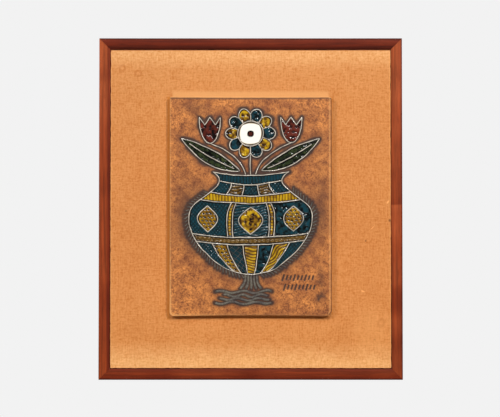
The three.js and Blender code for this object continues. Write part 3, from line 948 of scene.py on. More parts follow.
@made_once("weave")
def weave_group():
    """Two sets of crossing threads, each thread a rounded ridge that the other set passes over and
    under, with thicker slubs here and there and an uneven, blotchy take-up of the dye."""
    sockets = {"Vector": ("NodeSocketVector", None), "Pitch": ("NodeSocketFloat", 1.3 * MM)}
    outputs = {"Height": "NodeSocketFloat", "Slubs": "NodeSocketFloat", "Gaps": "NodeSocketFloat"}
    group, given, out = new_group("weave", sockets, outputs)
    axes = node(group, "ShaderNodeSeparateXYZ", {"Vector": given["Vector"]}).outputs
    drift = times(group, noise(group, given["Vector"], 60.0, 2), 4 * MM)
    turns = maths(group, "DIVIDE", math.pi, given["Pitch"])
    def threads(axis, offset):
        place = times(group, plus(group, axes[axis], drift), turns)
        return maths(group, "ABSOLUTE", maths(group, "SINE", plus(group, place, offset)))
    upright, level = threads("X", 0.0), threads("Z", 0.7)
    crossing = times(group, upright, level)
    rows = noise(group, stretched(group, given["Vector"], (90, 90, 620)), 1.0, 3, 0.6)
    columns = noise(group, stretched(group, given["Vector"], (620, 90, 80)), 1.0, 3, 0.6)
    blotches = noise(group, given["Vector"], 340.0, 3, 0.6)
    along_threads = plus(group, times(group, rows, 0.3), times(group, columns, 0.3))
    slubs = plus(group, along_threads, times(group, blotches, 0.4))
    group.links.new(plus(group, crossing, slubs), out["Height"])
    group.links.new(slubs, out["Slubs"])
    gaps = minus(group, 1.0, maths(group, "MAXIMUM", upright, level))
    group.links.new(gaps, out["Gaps"])
    return group


@made_once("mark")
def mark_group():
    """A mark on the cloth: an ellipse about a centre, turned in the cloth's plane, either filled or
    only its outline."""
    sockets = {
        "Vector": ("NodeSocketVector", None),
        "Centre": ("NodeSocketVector", None),
        "Turn": ("NodeSocketVector", None),
        "Size": ("NodeSocketVector", None),
        "Ring": ("NodeSocketFloat", 0.0),
        "Softness": ("NodeSocketFloat", 1.0),
        "Strength": ("NodeSocketFloat", 0.5),
    }
    group, given, out = new_group("mark", sockets, {"Mask": "NodeSocketFloat"})
    placed = {
        "Vector": given["Vector"],
        "Location": given["Centre"],
        "Rotation": given["Turn"],
        "Scale": given["Size"],
    }
    local = node(group, "ShaderNodeMapping", placed, vector_type="TEXTURE").outputs[0]
    reach = node(group, "ShaderNodeVectorMath", {0: local}, operation="LENGTH").outputs["Value"]
    gap = maths(group, "ABSOLUTE", minus(group, reach, given["Ring"]))
    fall = maths(group, "SUBTRACT", 1.0, maths(group, "DIVIDE", gap, given["Softness"]), clamp=True)
    full = maths(group, "MULTIPLY", fall, 1.7, clamp=True)
    group.links.new(times(group, full, given["Strength"]), out["Mask"])
    return group


def use_group(tree, group, inputs):
    """The outputs of a node group, fed with values or with other nodes' outputs."""
    made = tree.nodes.new("ShaderNodeGroup")
    made.node_tree = group
    for key, value in inputs.items():
        fill(tree, made.inputs[key], value)
    return made.outputs


def new_material(name, **constants):
    """A material with its shader, the shader's plain values set on its own sockets."""
    material = bpy.data.materials.new(name)
    material.use_nodes = True
    tree = material.node_tree
    shader = tree.nodes["Principled BSDF"]
    for key, value in constants.items():
        shader.inputs[key.replace("_", " ")].default_value = value
    return material, tree, shader


def object_place(tree):
    """Each point's place in its piece, in metres."""
    return node(tree, "ShaderNodeTexCoord").outputs["Object"]


def bumped(tree, shader, height, strength, distance):
    """Makes a surface look raised where the height is greater."""
    made = node(tree, "ShaderNodeBump", {"Height": height, "Strength": strength, "Distance": distance})
    tree.links.new(made.outputs["Normal"], shader.inputs["Normal"])


def shaded(colour, factor):
    """The same colour made darker or lighter."""
    return tuple(min(channel * factor, 1) for channel in colour)


def tinted(colour, red, green, blue):
    """A colour with each channel made darker or lighter by its own factor."""
    return colour[0] * red, colour[1] * green, colour[2] * blue


def wood_material(name, colour, offset):
    """Oiled hardwood: streaks along the grain, dark pores, and a tone that changes along the rail and
    carries the rail's painted light and shade.
    """
    material, tree, shader = new_material(name, Specular_IOR_Level=0.12)
    grain = attribute(tree, "grain", "Vector")
    streaks = noise(tree, stretched(tree, grain, (9, 330, 330), offset), 1.0, 5, 0.6)
    base = ramp(tree, streaks, [(0.3, shaded(colour, 0.6)), (0.5, colour), (0.72, shaded(colour, 1.4))])
    pores = noise(tree, stretched(tree, grain, (55, 1500, 1500), offset), 1.0, 2, 0.5)
    pore_mask = ramp(tree, pores, [(0.34, 0.45), (0.44, 0.0)])
    base = mixed(tree, pore_mask, base, shaded(colour, 0.3))
    lightness = ramp(tree, attribute(tree, "tone"), [
        (0.0, 0.0),
        (0.2, (0.4, 0.25, 0.18)),
        (0.38, (0.76, 0.74, 0.66)),
        (0.58, (1.16, 1.44, 1.6)),
        (1.0, (2, 2.5, 2.8)),
    ])
    tree.links.new(tempered(tree, base, lightness), shader.inputs["Base Color"])
    tree.links.new(ramp(tree, streaks, [(0.3, 0.6), (0.7, 0.45)]), shader.inputs["Roughness"])
    bumped(tree, shader, plus(tree, streaks, times(tree, pores, 0.6)), 0.35, 0.6 * MM)
    return material


# Marks on the cloth as (pixel, half length, half width, turn, strength), in pixels and radians.
LINEN_RINGS = [
    ((122.0, 67.8), 2.6, 3.0, 0.3, 0.4),
    ((137.8, 72.9), 2.9, 2.6, 0.0, 0.4),
    ((381.0, 322.6), 2.6, 3.6, 0.3, 0.5),
]
LINEN_DARK = [
    ((365.7, 240.8), 1.2, 1.4, 0.0, 0.75),
    ((370.7, 153.0), 1.0, 1.0, 0.0, 0.5),
    ((126.0, 211.0), 1.3, 1.0, 0.0, 0.6),
    ((114.0, 260.0), 1.0, 1.0, 0.0, 0.5),
    ((389.6, 220.4), 1.3, 2.0, 0.0, 1.0),
    ((374.5, 339.3), 1.4, 1.2, 0.0, 0.35),
    ((130.0, 95.0), 62.0, 70.0, 0.0, 0.07),
]
LINEN_LIGHT = [
    ((371.0, 330.0), 24.0, 30.0, 0.0, 0.17),
    ((388.0, 202.0), 1.0, 2.2, 0.5, 0.8),
    ((372.3, 228.0), 5.0, 0.5, -0.78, 0.45),
    ((362.8, 291.2), 2.6, 1.2, 0.4, 0.6),
]
MARK_DEPTH = 10 * MM

# About how many times the cloth's height and width go into one metre.
HEIGHTS_PER_METRE = 2.2
WIDTHS_PER_METRE = 2.5


def painted_light_round_tile(tree, place):
    """Masks of painted light on the cloth round the tile: a painted shadow that falls off from its two
    sides, a darker painted shadow below it, and a painted pool of light above it. The distances past its
    edges are in centimetres."""
    low, high = TILE_BOX
    axes = node(tree, "ShaderNodeSeparateXYZ", {"Vector": place}).outputs
    def past(axis, edge, sign):
        return times(tree, minus(tree, axes[axis], edge), sign * 100.0)
    left, right = past("X", low.x, -1), past("X", high.x, 1)
    below, above = past("Z", low.z, -1), past("Z", high.z, 1)
    level = maths(tree, "MAXIMUM", minus(tree, below, 0.4), above)
    # Painted shadows beside the tile's left and right sides.
    left_painted_shadow = ramp(tree, left, [(0.0, 0.0), (0.01, 0.75), (0.3, 0.72), (0.42, 0.0)])
    right_painted_shadow = ramp(tree, right, [(0.0, 0.0), (0.01, 0.2), (0.25, 0.16), (0.38, 0.0)])
    sides = times(tree, plus(tree, left_painted_shadow, right_painted_shadow), ramp(tree, level, [(0.0, 1.0), (0.1, 0.0)]))
    sideways = plus(tree, maths(tree, "MAXIMUM", left, right), 0.5)
    level_with = ramp(tree, sideways, [(0.0, 1.0), (0.3, 0.0)])
    # Painted shadow below the tile and painted light above it.
    under = ramp(tree, below, [(0.0, 0.0), (0.01, 0.95), (0.22, 0.8), (0.4, 0.0)])
    over = ramp(tree, above, [(0.0, 0.0), (0.01, 1.0), (0.6, 0.8), (1.0, 0.0)])
    return sides, times(tree, under, level_with), times(tree, over, level_with)


def cloth_tone(tree, place, slubs, colour):
    """The cloth's colour: paler where the threads are thick, in clouds, and changing slowly up and across
    the cloth, lighter near its top and bottom edges."""
    dark, light = tinted(colour, 0.82, 0.64, 0.44), tinted(colour, 1.12, 1.22, 1.4)
    base = ramp(tree, slubs, [(0.38, dark), (0.5, colour), (0.62, light)])
    clouds = noise(tree, place, 16.0, 4, 0.6)
    base = tempered(tree, base, ramp(tree, clouds, [(0.3, (0.92, 0.87, 0.82)), (0.7, 1.0)]))
    axes = node(tree, "ShaderNodeSeparateXYZ", {"Vector": place}).outputs
    height = times(tree, minus(tree, axes["Z"], FRAME_MIDDLE.z), HEIGHTS_PER_METRE)
    # Lighter near the top and bottom edges of the cloth and darker between them.
    up_the_cloth = ramp(tree, plus(tree, height, 0.5), [
        (0.05, (1.2, 1.36, 1.52)),
        (0.11, (0.95, 0.84, 0.71)),
        (0.26, (0.95, 0.83, 0.72)),
        (0.5, (0.9, 0.77, 0.66)),
        (0.82, (0.95, 0.87, 0.8)),
        (0.91, (0.97, 0.93, 0.91)),
        (0.95, (1.13, 1.26, 1.45)),
    ])
    base = tempered(tree, base, up_the_cloth)
    across = plus(tree, times(tree, axes["X"], WIDTHS_PER_METRE), 0.5)
    to_right = ramp(tree, across, [(0.2, (0.995, 0.98, 0.97)), (0.8, (0.99, 0.96, 0.94))])
    return tempered(tree, base, to_right)


def marked(tree, place, base, colour):
    """The old rings, dark spots and pale scuffs on the cloth."""
    middle_y = LINEN_BOX[0].y
    kinds = (
        (LINEN_RINGS, 1.0, 0.6, tinted(colour, 0.66, 0.42, 0.24)),
        (LINEN_DARK, 0.0, 1.0, tinted(colour, 0.34, 0.22, 0.16)),
        (LINEN_LIGHT, 0.0, 1.0, shaded(colour, 1.5)),
    )
    for marks, ring, softness, shade in kinds:
        for pixel, half_x, half_z, turn, strength in marks:
            x, z = from_photo(*pixel)
            mark = {
                "Vector": place,
                "Centre": (x, middle_y, z),
                "Turn": (0, turn, 0),
                "Size": (half_x * PHOTO_SCALE, MARK_DEPTH, half_z * PHOTO_SCALE),
                "Ring": ring,
                "Softness": softness,
                "Strength": strength,
            }
            base = mixed(tree, use_group(tree, mark_group(), mark)["Mask"], base, shade)
    return base


def linen_material(colour):
    """Coarse cloth: threads with slubs and cloudy dye, painted shadow beside and below the tile and
    painted light above it, a painted highlight round the edge where it turns over the board, painted shade
    along its top edge under the top rail, and the old marks on it."""
    material, tree, shader = new_material(
        "linen", Roughness=0.9, Specular_IOR_Level=0.1, Sheen_Weight=0.15, Sheen_Roughness=0.5
    )
    place = object_place(tree)
    weave = use_group(tree, weave_group(), {"Vector": place})
    base = cloth_tone(tree, place, weave["Slubs"], colour)
    sides, under, over = painted_light_round_tile(tree, place)
    # Painted shadow beside and below the tile, and painted light above it.
    base = mixed(tree, sides, base, tinted(colour, 0.8, 0.58, 0.24))
    base = mixed(tree, under, base, tinted(colour, 0.4, 0.24, 0.14))
    base = mixed(tree, over, base, tinted(colour, 1.1, 1.2, 1.3))
    base = mixed(tree, times(tree, weave["Gaps"], 0.6), base, tinted(colour, 0.82, 0.64, 0.44))
    # Painted highlight where the cloth turns over the board's edge.
    base = mixed(tree, times(tree, attribute(tree, "fold"), 0.4), base, shaded(colour, 1.3))
    # Painted shade along the cloth's top edge, in the gap under the top rail.
    base = mixed(tree, attribute(tree, "groove"), base, tinted(colour, 0.3, 0.12, 0.06))
    base = marked(tree, place, base, colour)
    tree.links.new(base, shader.inputs["Base Color"])
    bumped(tree, shader, weave["Height"], 0.6, 0.5 * MM)
    return material


def clay_material(colour, stain, name="clay", soot=0.0):
    """Iron-stained stoneware: orange and purplish-brown clouds, grainy spots of several sizes, fine black
    specks, dark oxide in the hollows and round the relief, painted shade along the tile's bottom edge, and
    a paler rim and crests."""
    material, tree, shader = new_material(name, Specular_IOR_Level=0.3)
    place = object_place(tree)
    brown = tinted(colour, 0.54, 0.47, 0.54)
    clouds = use_group(tree, mottle_group(), {
        "Vector": place,
        "One": shaded(colour, 1.05),
        "Other": brown,
        "Specks": stain,
        "Scale": 68.0,
        "Speck share": 0.22,
    })
    patches = noise(tree, place, 240.0, 4, 0.7, 0.6)
    grains = noise(tree, place, 470.0, 3, 0.7)
    spots = plus(tree, times(tree, patches, 0.5), times(tree, grains, 0.5))
    grainy = ramp(tree, spots, [
        (0.4, (0.4, 0.33, 0.31)),
        (0.5, (0.92, 0.9, 0.88)),
        (0.59, (1.38, 1.46, 1.44)),
    ])
    base = tempered(tree, clouds["Color"], grainy)
    wandering = noise(tree, place, 120.0, 3, 0.6, 2.0)
    off_line = maths(tree, "ABSOLUTE", minus(tree, wandering, 0.44))
    squiggles = ramp(tree, off_line, [(0.0, 0.3), (0.012, 0.24), (0.035, 0.0)])
    base = mixed(tree, squiggles, base, tinted(colour, 0.3, 0.22, 0.26))
    amount = attribute(tree, "stain")
    uneven = plus(tree, amount, times(tree, minus(tree, spots, 0.5), 1.6))
    dark = ramp(tree, uneven, [(0.1, 0.0), (0.95, 0.92)])
    base = mixed(tree, dark, base, stain)
    if soot:
        base = mixed(tree, soot, base, stain)
    worn = attribute(tree, "worn")
    base = mixed(tree, times(tree, worn, 0.85), base, tinted(colour, 1.55, 2.1, 2.9))
    tree.links.new(base, shader.inputs["Base Color"])
    tree.links.new(ramp(tree, patches, [(0.3, 0.62), (0.7, 0.45)]), shader.inputs["Roughness"])
    bumped(tree, shader, clouds["Height"], 0.5, 0.5 * MM)
    return material


def glaze_material(name, colour, deep, bright, roughness, breaks):
    """Glossy glaze: deep where it lies thin in the hollows, bright where it pools, darkest in the groove
    beside the trailed lines, partly as painted shade, with clouds of the brighter colour and a fine
    orange-peel skin."""
    material, tree, shader = new_material(
        name, Specular_IOR_Level=0.42, Coat_Weight=0.15, Coat_Roughness=0.08
    )
    place = object_place(tree)
    pool = attribute(tree, "pool")
    clouds = noise(tree, place, 95.0, 4, 0.65)
    cloudy = plus(tree, times(tree, minus(tree, clouds, 0.5), breaks * 4), 1.0)
    depth = times(tree, pool, cloudy)
    # The darkest stop colours the contour beside the lines, partly painted shade, and the deepest hollows.
    base = ramp(tree, depth, [(0.0, shaded(deep, 0.12)), (0.14, deep), (0.5, colour), (0.95, bright)])
    tree.links.new(base, shader.inputs["Base Color"])
    shine = ramp(tree, clouds, [(0.3, roughness * 1.6), (0.7, roughness * 0.7)])
    tree.links.new(shine, shader.inputs["Roughness"])
    bumped(tree, shader, noise(tree, place, 700.0, 2, 0.5), 0.35, 0.4 * MM)
    return material


def slip_material(colour, stain):
    """Pale trailed clay: chalky grey on top, darkened where it meets the glaze, partly by stain and partly
    as painted shade.
    """
    material, tree, shader = new_material("slip", Roughness=0.38, Coat_Weight=0.9, Coat_Roughness=0.12)
    place = object_place(tree)
    smudges = use_group(tree, mottle_group(), {
        "Vector": place,
        "One": colour,
        "Other": shaded(colour, 0.62),
        "Specks": stain,
        "Scale": 160.0,
        "Speck share": 0.5,
    })
    side = attribute(tree, "side")
    # Darker low on the line's sides, where it meets the glaze: partly stain, partly painted shade.
    stained = ramp(tree, side, [(0.05, 0.0), (0.24, 0.95)])
    base = mixed(tree, stained, smudges["Color"], shaded(stain, 0.4))
    tree.links.new(base, shader.inputs["Base Color"])
    bumped(tree, shader, smudges["Height"], 0.3, 0.3 * MM)
    return material


def board_material():
    """Chipboard: pressed flakes of many browns."""
    material, tree, shader = new_material("chipboard", Roughness=0.85)
    place = object_place(tree)
    squashed = stretched(tree, place, (760, 760, 480))
    flakes = node(tree, "ShaderNodeTexVoronoi", {"Vector": squashed, "Scale": 1.0})
    shade = node(tree, "ShaderNodeSeparateColor", {"Color": flakes.outputs["Color"]}).outputs[0]
    browns = (tone(138, 104, 68), tone(158, 122, 82), tone(174, 138, 96))
    base = ramp(tree, shade, list(zip((0.0, 0.5, 1.0), browns)))
    stains = noise(tree, place, 9.0, 4)
    base = mixed(tree, ramp(tree, stains, [(0.35, 0.35), (0.7, 0.0)]), base, tone(90, 62, 40))
    tree.links.new(base, shader.inputs["Base Color"])
    bumped(tree, shader, flakes.outputs["Distance"], 0.3, 0.5 * MM)
    return material


def steel_material():
    """Dull plated steel, rolled along its length, with a little tarnish."""
    material, tree, shader = new_material("plated_steel", Metallic=1.0)
    place = object_place(tree)
    rolled = noise(tree, stretched(tree, place, (90, 900, 2400)), 1.0, 3)
    tarnish = noise(tree, place, 420.0, 4)
    base = ramp(tree, rolled, [(0.3, tone(150, 148, 142)), (0.7, tone(196, 194, 188))])
    base = mixed(tree, ramp(tree, tarnish, [(0.55, 0.0), (0.72, 0.7)]), base, tone(122, 84, 52))
    tree.links.new(base, shader.inputs["Base Color"])
    tree.links.new(ramp(tree, tarnish, [(0.3, 0.3), (0.7, 0.55)]), shader.inputs["Roughness"])
    bumped(tree, shader, rolled, 0.2, 0.2 * MM)
    return material


# Pieces


# How far each rail's ends reach into the gap of the mitre.
MITRE_CREEP = 0.1 * MM

# How light each rail is, which is painted light: the side rails lighter than the top and bottom ones, as
# the side lamps catch them across the grain. Then the painted shade of the band inside its face, where the
# face rounds down to the cloth (where it starts, its width, its depth), and the seed of its slow changes.
RAIL_SHADE_AND_TONE = {
    "top": (0.2, 8 * MM, 5 * MM, 0.5, 101),
    "bottom": (0.31, 10.5 * MM, 3.5 * MM, 0.2, 111),
    "left": (0.43, 9.5 * MM, 3 * MM, 0.46, 121),
    "right": (0.41, 11 * MM, 2.5 * MM, 0.08, 131),
}

# How far down the photograph the right rail's knot and its darker stretch lie, in pixels.
KNOT_PIXEL = 204.4
DARK_STRETCH_PIXEL = 301.0


def rail_section(sizes, face, back, front):
    """Distances in from the outer edge and y of a rail's outline: back corners, and a crowned face
    between two rounded front edges."""
    arris, crown = sizes.rail_arris, sizes.rail_crown
    angles = np.linspace(math.pi, math.pi * 0.56, 7)
    shares = np.linspace(0.16, 0.84, 13)
    inner = math.pi - angles[::-1]
    half_way = (front + back) / 2
    across = np.concatenate([
        [0, 0],
        arris + arris * np.cos(angles),
        face * shares,
        face - arris + arris * np.cos(inner),
        [face, face],
    ])
    depth = np.concatenate([
        [back, half_way],
        front + crown + arris * (1 - np.sin(angles)),
        front + crown * (2 * shares - 1) ** 2,
        front + crown + arris * (1 - np.sin(inner)),
        [half_way, back],
    ])
    return across, depth


@operator("Wooden rails")
class PLAQUE_OT_rails(bpy.types.Operator):
    """Four mitred rails with crowned faces, each cut from its own length of wood"""

    bl_idname = "plaque.rails"

    def execute(self, context):
        sizes, colours = context.scene.plaque_sizes, context.scene.plaque_colours
        for k, side in enumerate(RAIL_SHADE_AND_TONE):
            low, high = RAIL_BOX[side]
            upright = side in ("left", "right")
            length = high.z - low.z if upright else high.x - low.x
            face = high.x - low.x if upright else high.z - low.z
            across, depth = rail_section(sizes, face, high.y, low.y)
            stations = np.linspace(-1, 1, 221)[:, None]
            along = stations * (length / 2 - across[None] + MITRE_CREEP)
            bow = 0.12 * MM * value_noise(along, np.full_like(along, 7.0 * k), 60 * MM, 90)
            depth_here = depth[None] + np.where(depth < low.y + 3 * MM, bow, 0)
            local = np.stack([along, np.broadcast_to(across, along.shape), depth_here], -1)
            if side in ("bottom", "right"):
                local = local[:, ::-1]
            points, faces = skin(self.placed(side, local, upright))
            flat = local.reshape(-1, 3)
            material = wood_material(f"wood_{side}", tuple(colours.wood), (13.0 * k, 3.0 * k, 0))
            # The tone carries the rail's painted light and shade as well as its slow changes.
            values = {"grain": flat, "tone": rail_shade_and_tone(side, flat, length)}
            piece = make_piece(f"wood_rail_{side}", points, faces, material, values, 35)
            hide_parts(f"frame_rail_{side}")
        return {"FINISHED"}

    def placed(self, side, local, upright):
        """Places in the plaque's frame of points given along a rail, in from its outer edge, and y."""
        low, high = RAIL_BOX[side]
        middle = (low + high) / 2
        outer = {"top": high.z, "bottom": low.z, "left": low.x, "right": high.x}[side]
        inward = -1 if side in ("top", "right") else 1
        lengthwise, crosswise = (2, 0) if upright else (0, 2)
        place = np.empty_like(local)
        place[..., lengthwise] = local[..., 0] + middle[lengthwise]
        place[..., 1] = local[..., 2]
        place[..., crosswise] = outer + inward * local[..., 1]
        return place


def rail_shade_and_tone(side, local, length):
    """How light the wood is at each point, 0.5 being plain: each rail's painted level of light, slow
    changes along the rail, a painted shade band inside where the face rounds down to the cloth, a dark
    line outside but on the left rail a painted highlight along the outer edge, painted shade on the outer
    halves of the bottom and right rails, and on the right rail a paler stretch below a dark knot and a
    dark stretch further down."""
    along, across = local[:, 0], local[:, 1]
    # The level is painted light, the side rails lighter than the top and bottom ones; the band is painted
    # shade.
    level, start, width, depth, seed = RAIL_SHADE_AND_TONE[side]
    change = 1 + 0.2 * layered_noise(along, np.zeros_like(along), 60 * MM, seed, 3)
    change *= 1 - depth * np.clip((across - start) / width, 0, 1)
    if side == "left":
        change *= np.interp(along / length, (-0.33, 0.15, 0.24, 0.37), (0.83, 0.79, 0.93, 1.45))
        # Painted highlight along the left rail's outer edge, stronger towards its top.
        change *= 1 + 0.3 * bell(across, 1.6 * MM) * np.clip(0.5 + along / (0.4 * length), 0, 1)
    else:
        change *= 1 - 0.45 * (across < 1.2 * MM)
    if side == "bottom":
        # Painted shade on the bottom rail's outer half, which faces down.
        change *= 1 - 0.3 * np.clip(1 - across / (9 * MM), 0, 1)
    if side == "right":
        up = along + FRAME_MIDDLE.z
        knot, dark_stretch = (from_photo(0, pixel)[1] for pixel in (KNOT_PIXEL, DARK_STRETCH_PIXEL))
        above = 1.16 - 0.36 * fading(up - knot, 11 * MM)
        below = 1.02 + 0.43 * fading(knot - up, 14 * MM)
        change *= np.where(up < knot, below, above)
        change *= 1 - 0.4 * np.exp(-(((up - dark_stretch) / (21 * MM)) ** 4))
        # Painted shade on the right rail's outer half.
        change *= 1 - 0.22 * np.clip(1 - across / (8 * MM), 0, 1)
    return np.clip(level * change, 0, 1)


# How far the cloth reaches in under the tile, and how far from its middle, across and up, its edge
# frays.
UNDER_TILE = 12 * MM
FRAYED_BEYOND = (0.18, 0.205)


@operator("Linen")
class PLAQUE_OT_linen(bpy.types.Operator):
    """The cloth stretched over the board, turned round its edges and hemmed behind"""

    bl_idname = "plaque.linen"

    def execute(self, context):
        sizes, colours = context.scene.plaque_sizes, context.scene.plaque_colours
        low, high = LINEN_BOX
        radius, hem = sizes.cloth_edge, sizes.cloth_hem
        depth = high.y - low.y
        inset, back = self.section(sizes, depth)
        rings = self.square_rings(inset, back, low, high)
        x, z = rings[..., 0], rings[..., 2]
        slack = 0.1 * MM * value_noise(x, z, 6 * MM, 141) + 0.12 * MM * value_noise(x, z, 28 * MM, 142)
        inside = (inset[:, None] > radius) & (back[:, None] < 2 * MM)
        rings[..., 1] += np.where(inside, slack, 0)
        near_edge = np.clip(1 - inset / radius, 0, 1) * (back < depth / 2)
        frayed = np.abs(0.55 * MM * layered_noise(x, z, 5 * MM, 143, 2)) * near_edge[:, None]
        for axis, beyond in zip((0, 2), FRAYED_BEYOND):
            away = rings[..., axis] - FRAME_MIDDLE[axis]
            rings[..., axis] -= np.sign(away) * frayed * (np.abs(away) > beyond)
        points, faces = skin(rings)
        # A painted highlight where the cloth turns over the board's edge.
        fold = bell(inset - 0.6 * radius, 1.0 * MM) * (back < radius)
        # Painted shade along the cloth's top edge, in the gap under the top rail.
        groove = np.exp(-(((high.z - rings[..., 2]) / (1.3 * MM)) ** 4))
        values = {"fold": np.repeat(fold, x.shape[1]), "groove": groove.ravel()}
        material = linen_material(tuple(colours.linen))
        piece = make_piece("linen", points, faces, material, values)
        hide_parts("linen_cover")
        return {"FINISHED"}

    def section(self, sizes, depth):
        """The cloth cut through, as distances in from its edge and back from its front: along its
        inner side from under the tile to the end of the hem, and back along its outer side."""
        thick, radius, hem = sizes.cloth_thickness, sizes.cloth_edge, sizes.cloth_hem
        tile_half = (TILE_BOX[1].x - TILE_BOX[0].x) / 2
        reach = (LINEN_BOX[1].x - LINEN_BOX[0].x) / 2 - tile_half + UNDER_TILE
        turn = np.linspace(0, math.pi / 2, 7)
        front = np.concatenate([np.linspace(reach, 6 * MM, 44), np.linspace(5.4 * MM, radius, 9)])

        def side(inwards, bend, hem_width, hem_depth):
            inset = [front - inwards, bend * (1 - np.sin(turn)), [0], np.linspace(0.4 * MM, hem_width, 8)]
            back = [0 * front, bend * (1 - np.cos(turn)), [hem_depth - thick], np.full(8, hem_depth)]
            return np.concatenate(inset), np.concatenate(back)

        outer_inset, outer_back = side(0, radius, hem, depth)
        inner_inset, inner_back = side(thick, radius - thick, hem - thick, depth - 2 * thick)
        inset = np.concatenate([thick + inner_inset, outer_inset[::-1]])
        return inset, np.concatenate([thick + inner_back, outer_back[::-1]])

    def square_rings(self, inset, back, low, high):
        """Rectangles inside each other, with the same number of points on each, from their insets
        and depths. The corners are square, as folded cloth is."""
        per_side = 150
        t = np.linspace(-1, 1, per_side, endpoint=False)
        square_x = np.concatenate([t, np.ones(per_side), -t, -np.ones(per_side)])
        square_z = np.concatenate([-np.ones(per_side), t, np.ones(per_side), -t])
        middle = (low + high) / 2
        half_x = ((high.x - low.x) / 2 - inset)[:, None]
        half_z = ((high.z - low.z) / 2 - inset)[:, None]
        rings = np.empty((len(inset), 4 * per_side, 3))
        rings[..., 0] = middle.x + half_x * square_x
        rings[..., 1] = (low.y + back)[:, None]
        rings[..., 2] = middle.z + half_z * square_z
        return rings


@operator("Backing board")
class PLAQUE_OT_board(bpy.types.Operator):
    """The chipboard that shows behind, inside the hem"""

    bl_idname = "plaque.board"

    def execute(self, context):
        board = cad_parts["backing_board"]
        board.data.materials.clear()
        board.data.materials.append(board_material())
        return {"FINISHED"}


def nearest(points, others, chunk=4000):
    """Distance from each point to the nearest of the others."""
    found = np.empty(len(points))
    for start in range(0, len(points), chunk):
        some = points[start : start + chunk]
        gaps = ((some[:, None] - others[None]) ** 2).sum(-1)
        found[start : start + chunk] = np.sqrt(gaps.min(1))
    return found


def graded(start, end, fine_start, fine_end, fine, coarse):
    """Grid lines from start to end, closer together between two places."""
    def spread(a, b, step):
        return np.linspace(a, b, max(int(round((b - a) / step)), 2), endpoint=False)
    before, after = spread(start, fine_start, coarse), spread(fine_end, end, coarse)
    return np.concatenate([before, spread(fine_start, fine_end, fine), after, [end]])


# Radius of each of the tile's corners, by its side and end, and how far its top and bottom edges
# bow inwards at their middles.
CORNERS = {(-1, 1): 2.8 * MM, (1, 1): 4.5 * MM, (-1, -1): 6 * MM, (1, -1): 9 * MM}
TOP_BOW = 0.5 * MM
BOTTOM_BOW = 1.4 * MM

# How deep and how wide each scratch in the clay is.
SCRATCH_DEPTH = 0.55 * MM
SCRATCH_WIDTH = 0.9 * MM


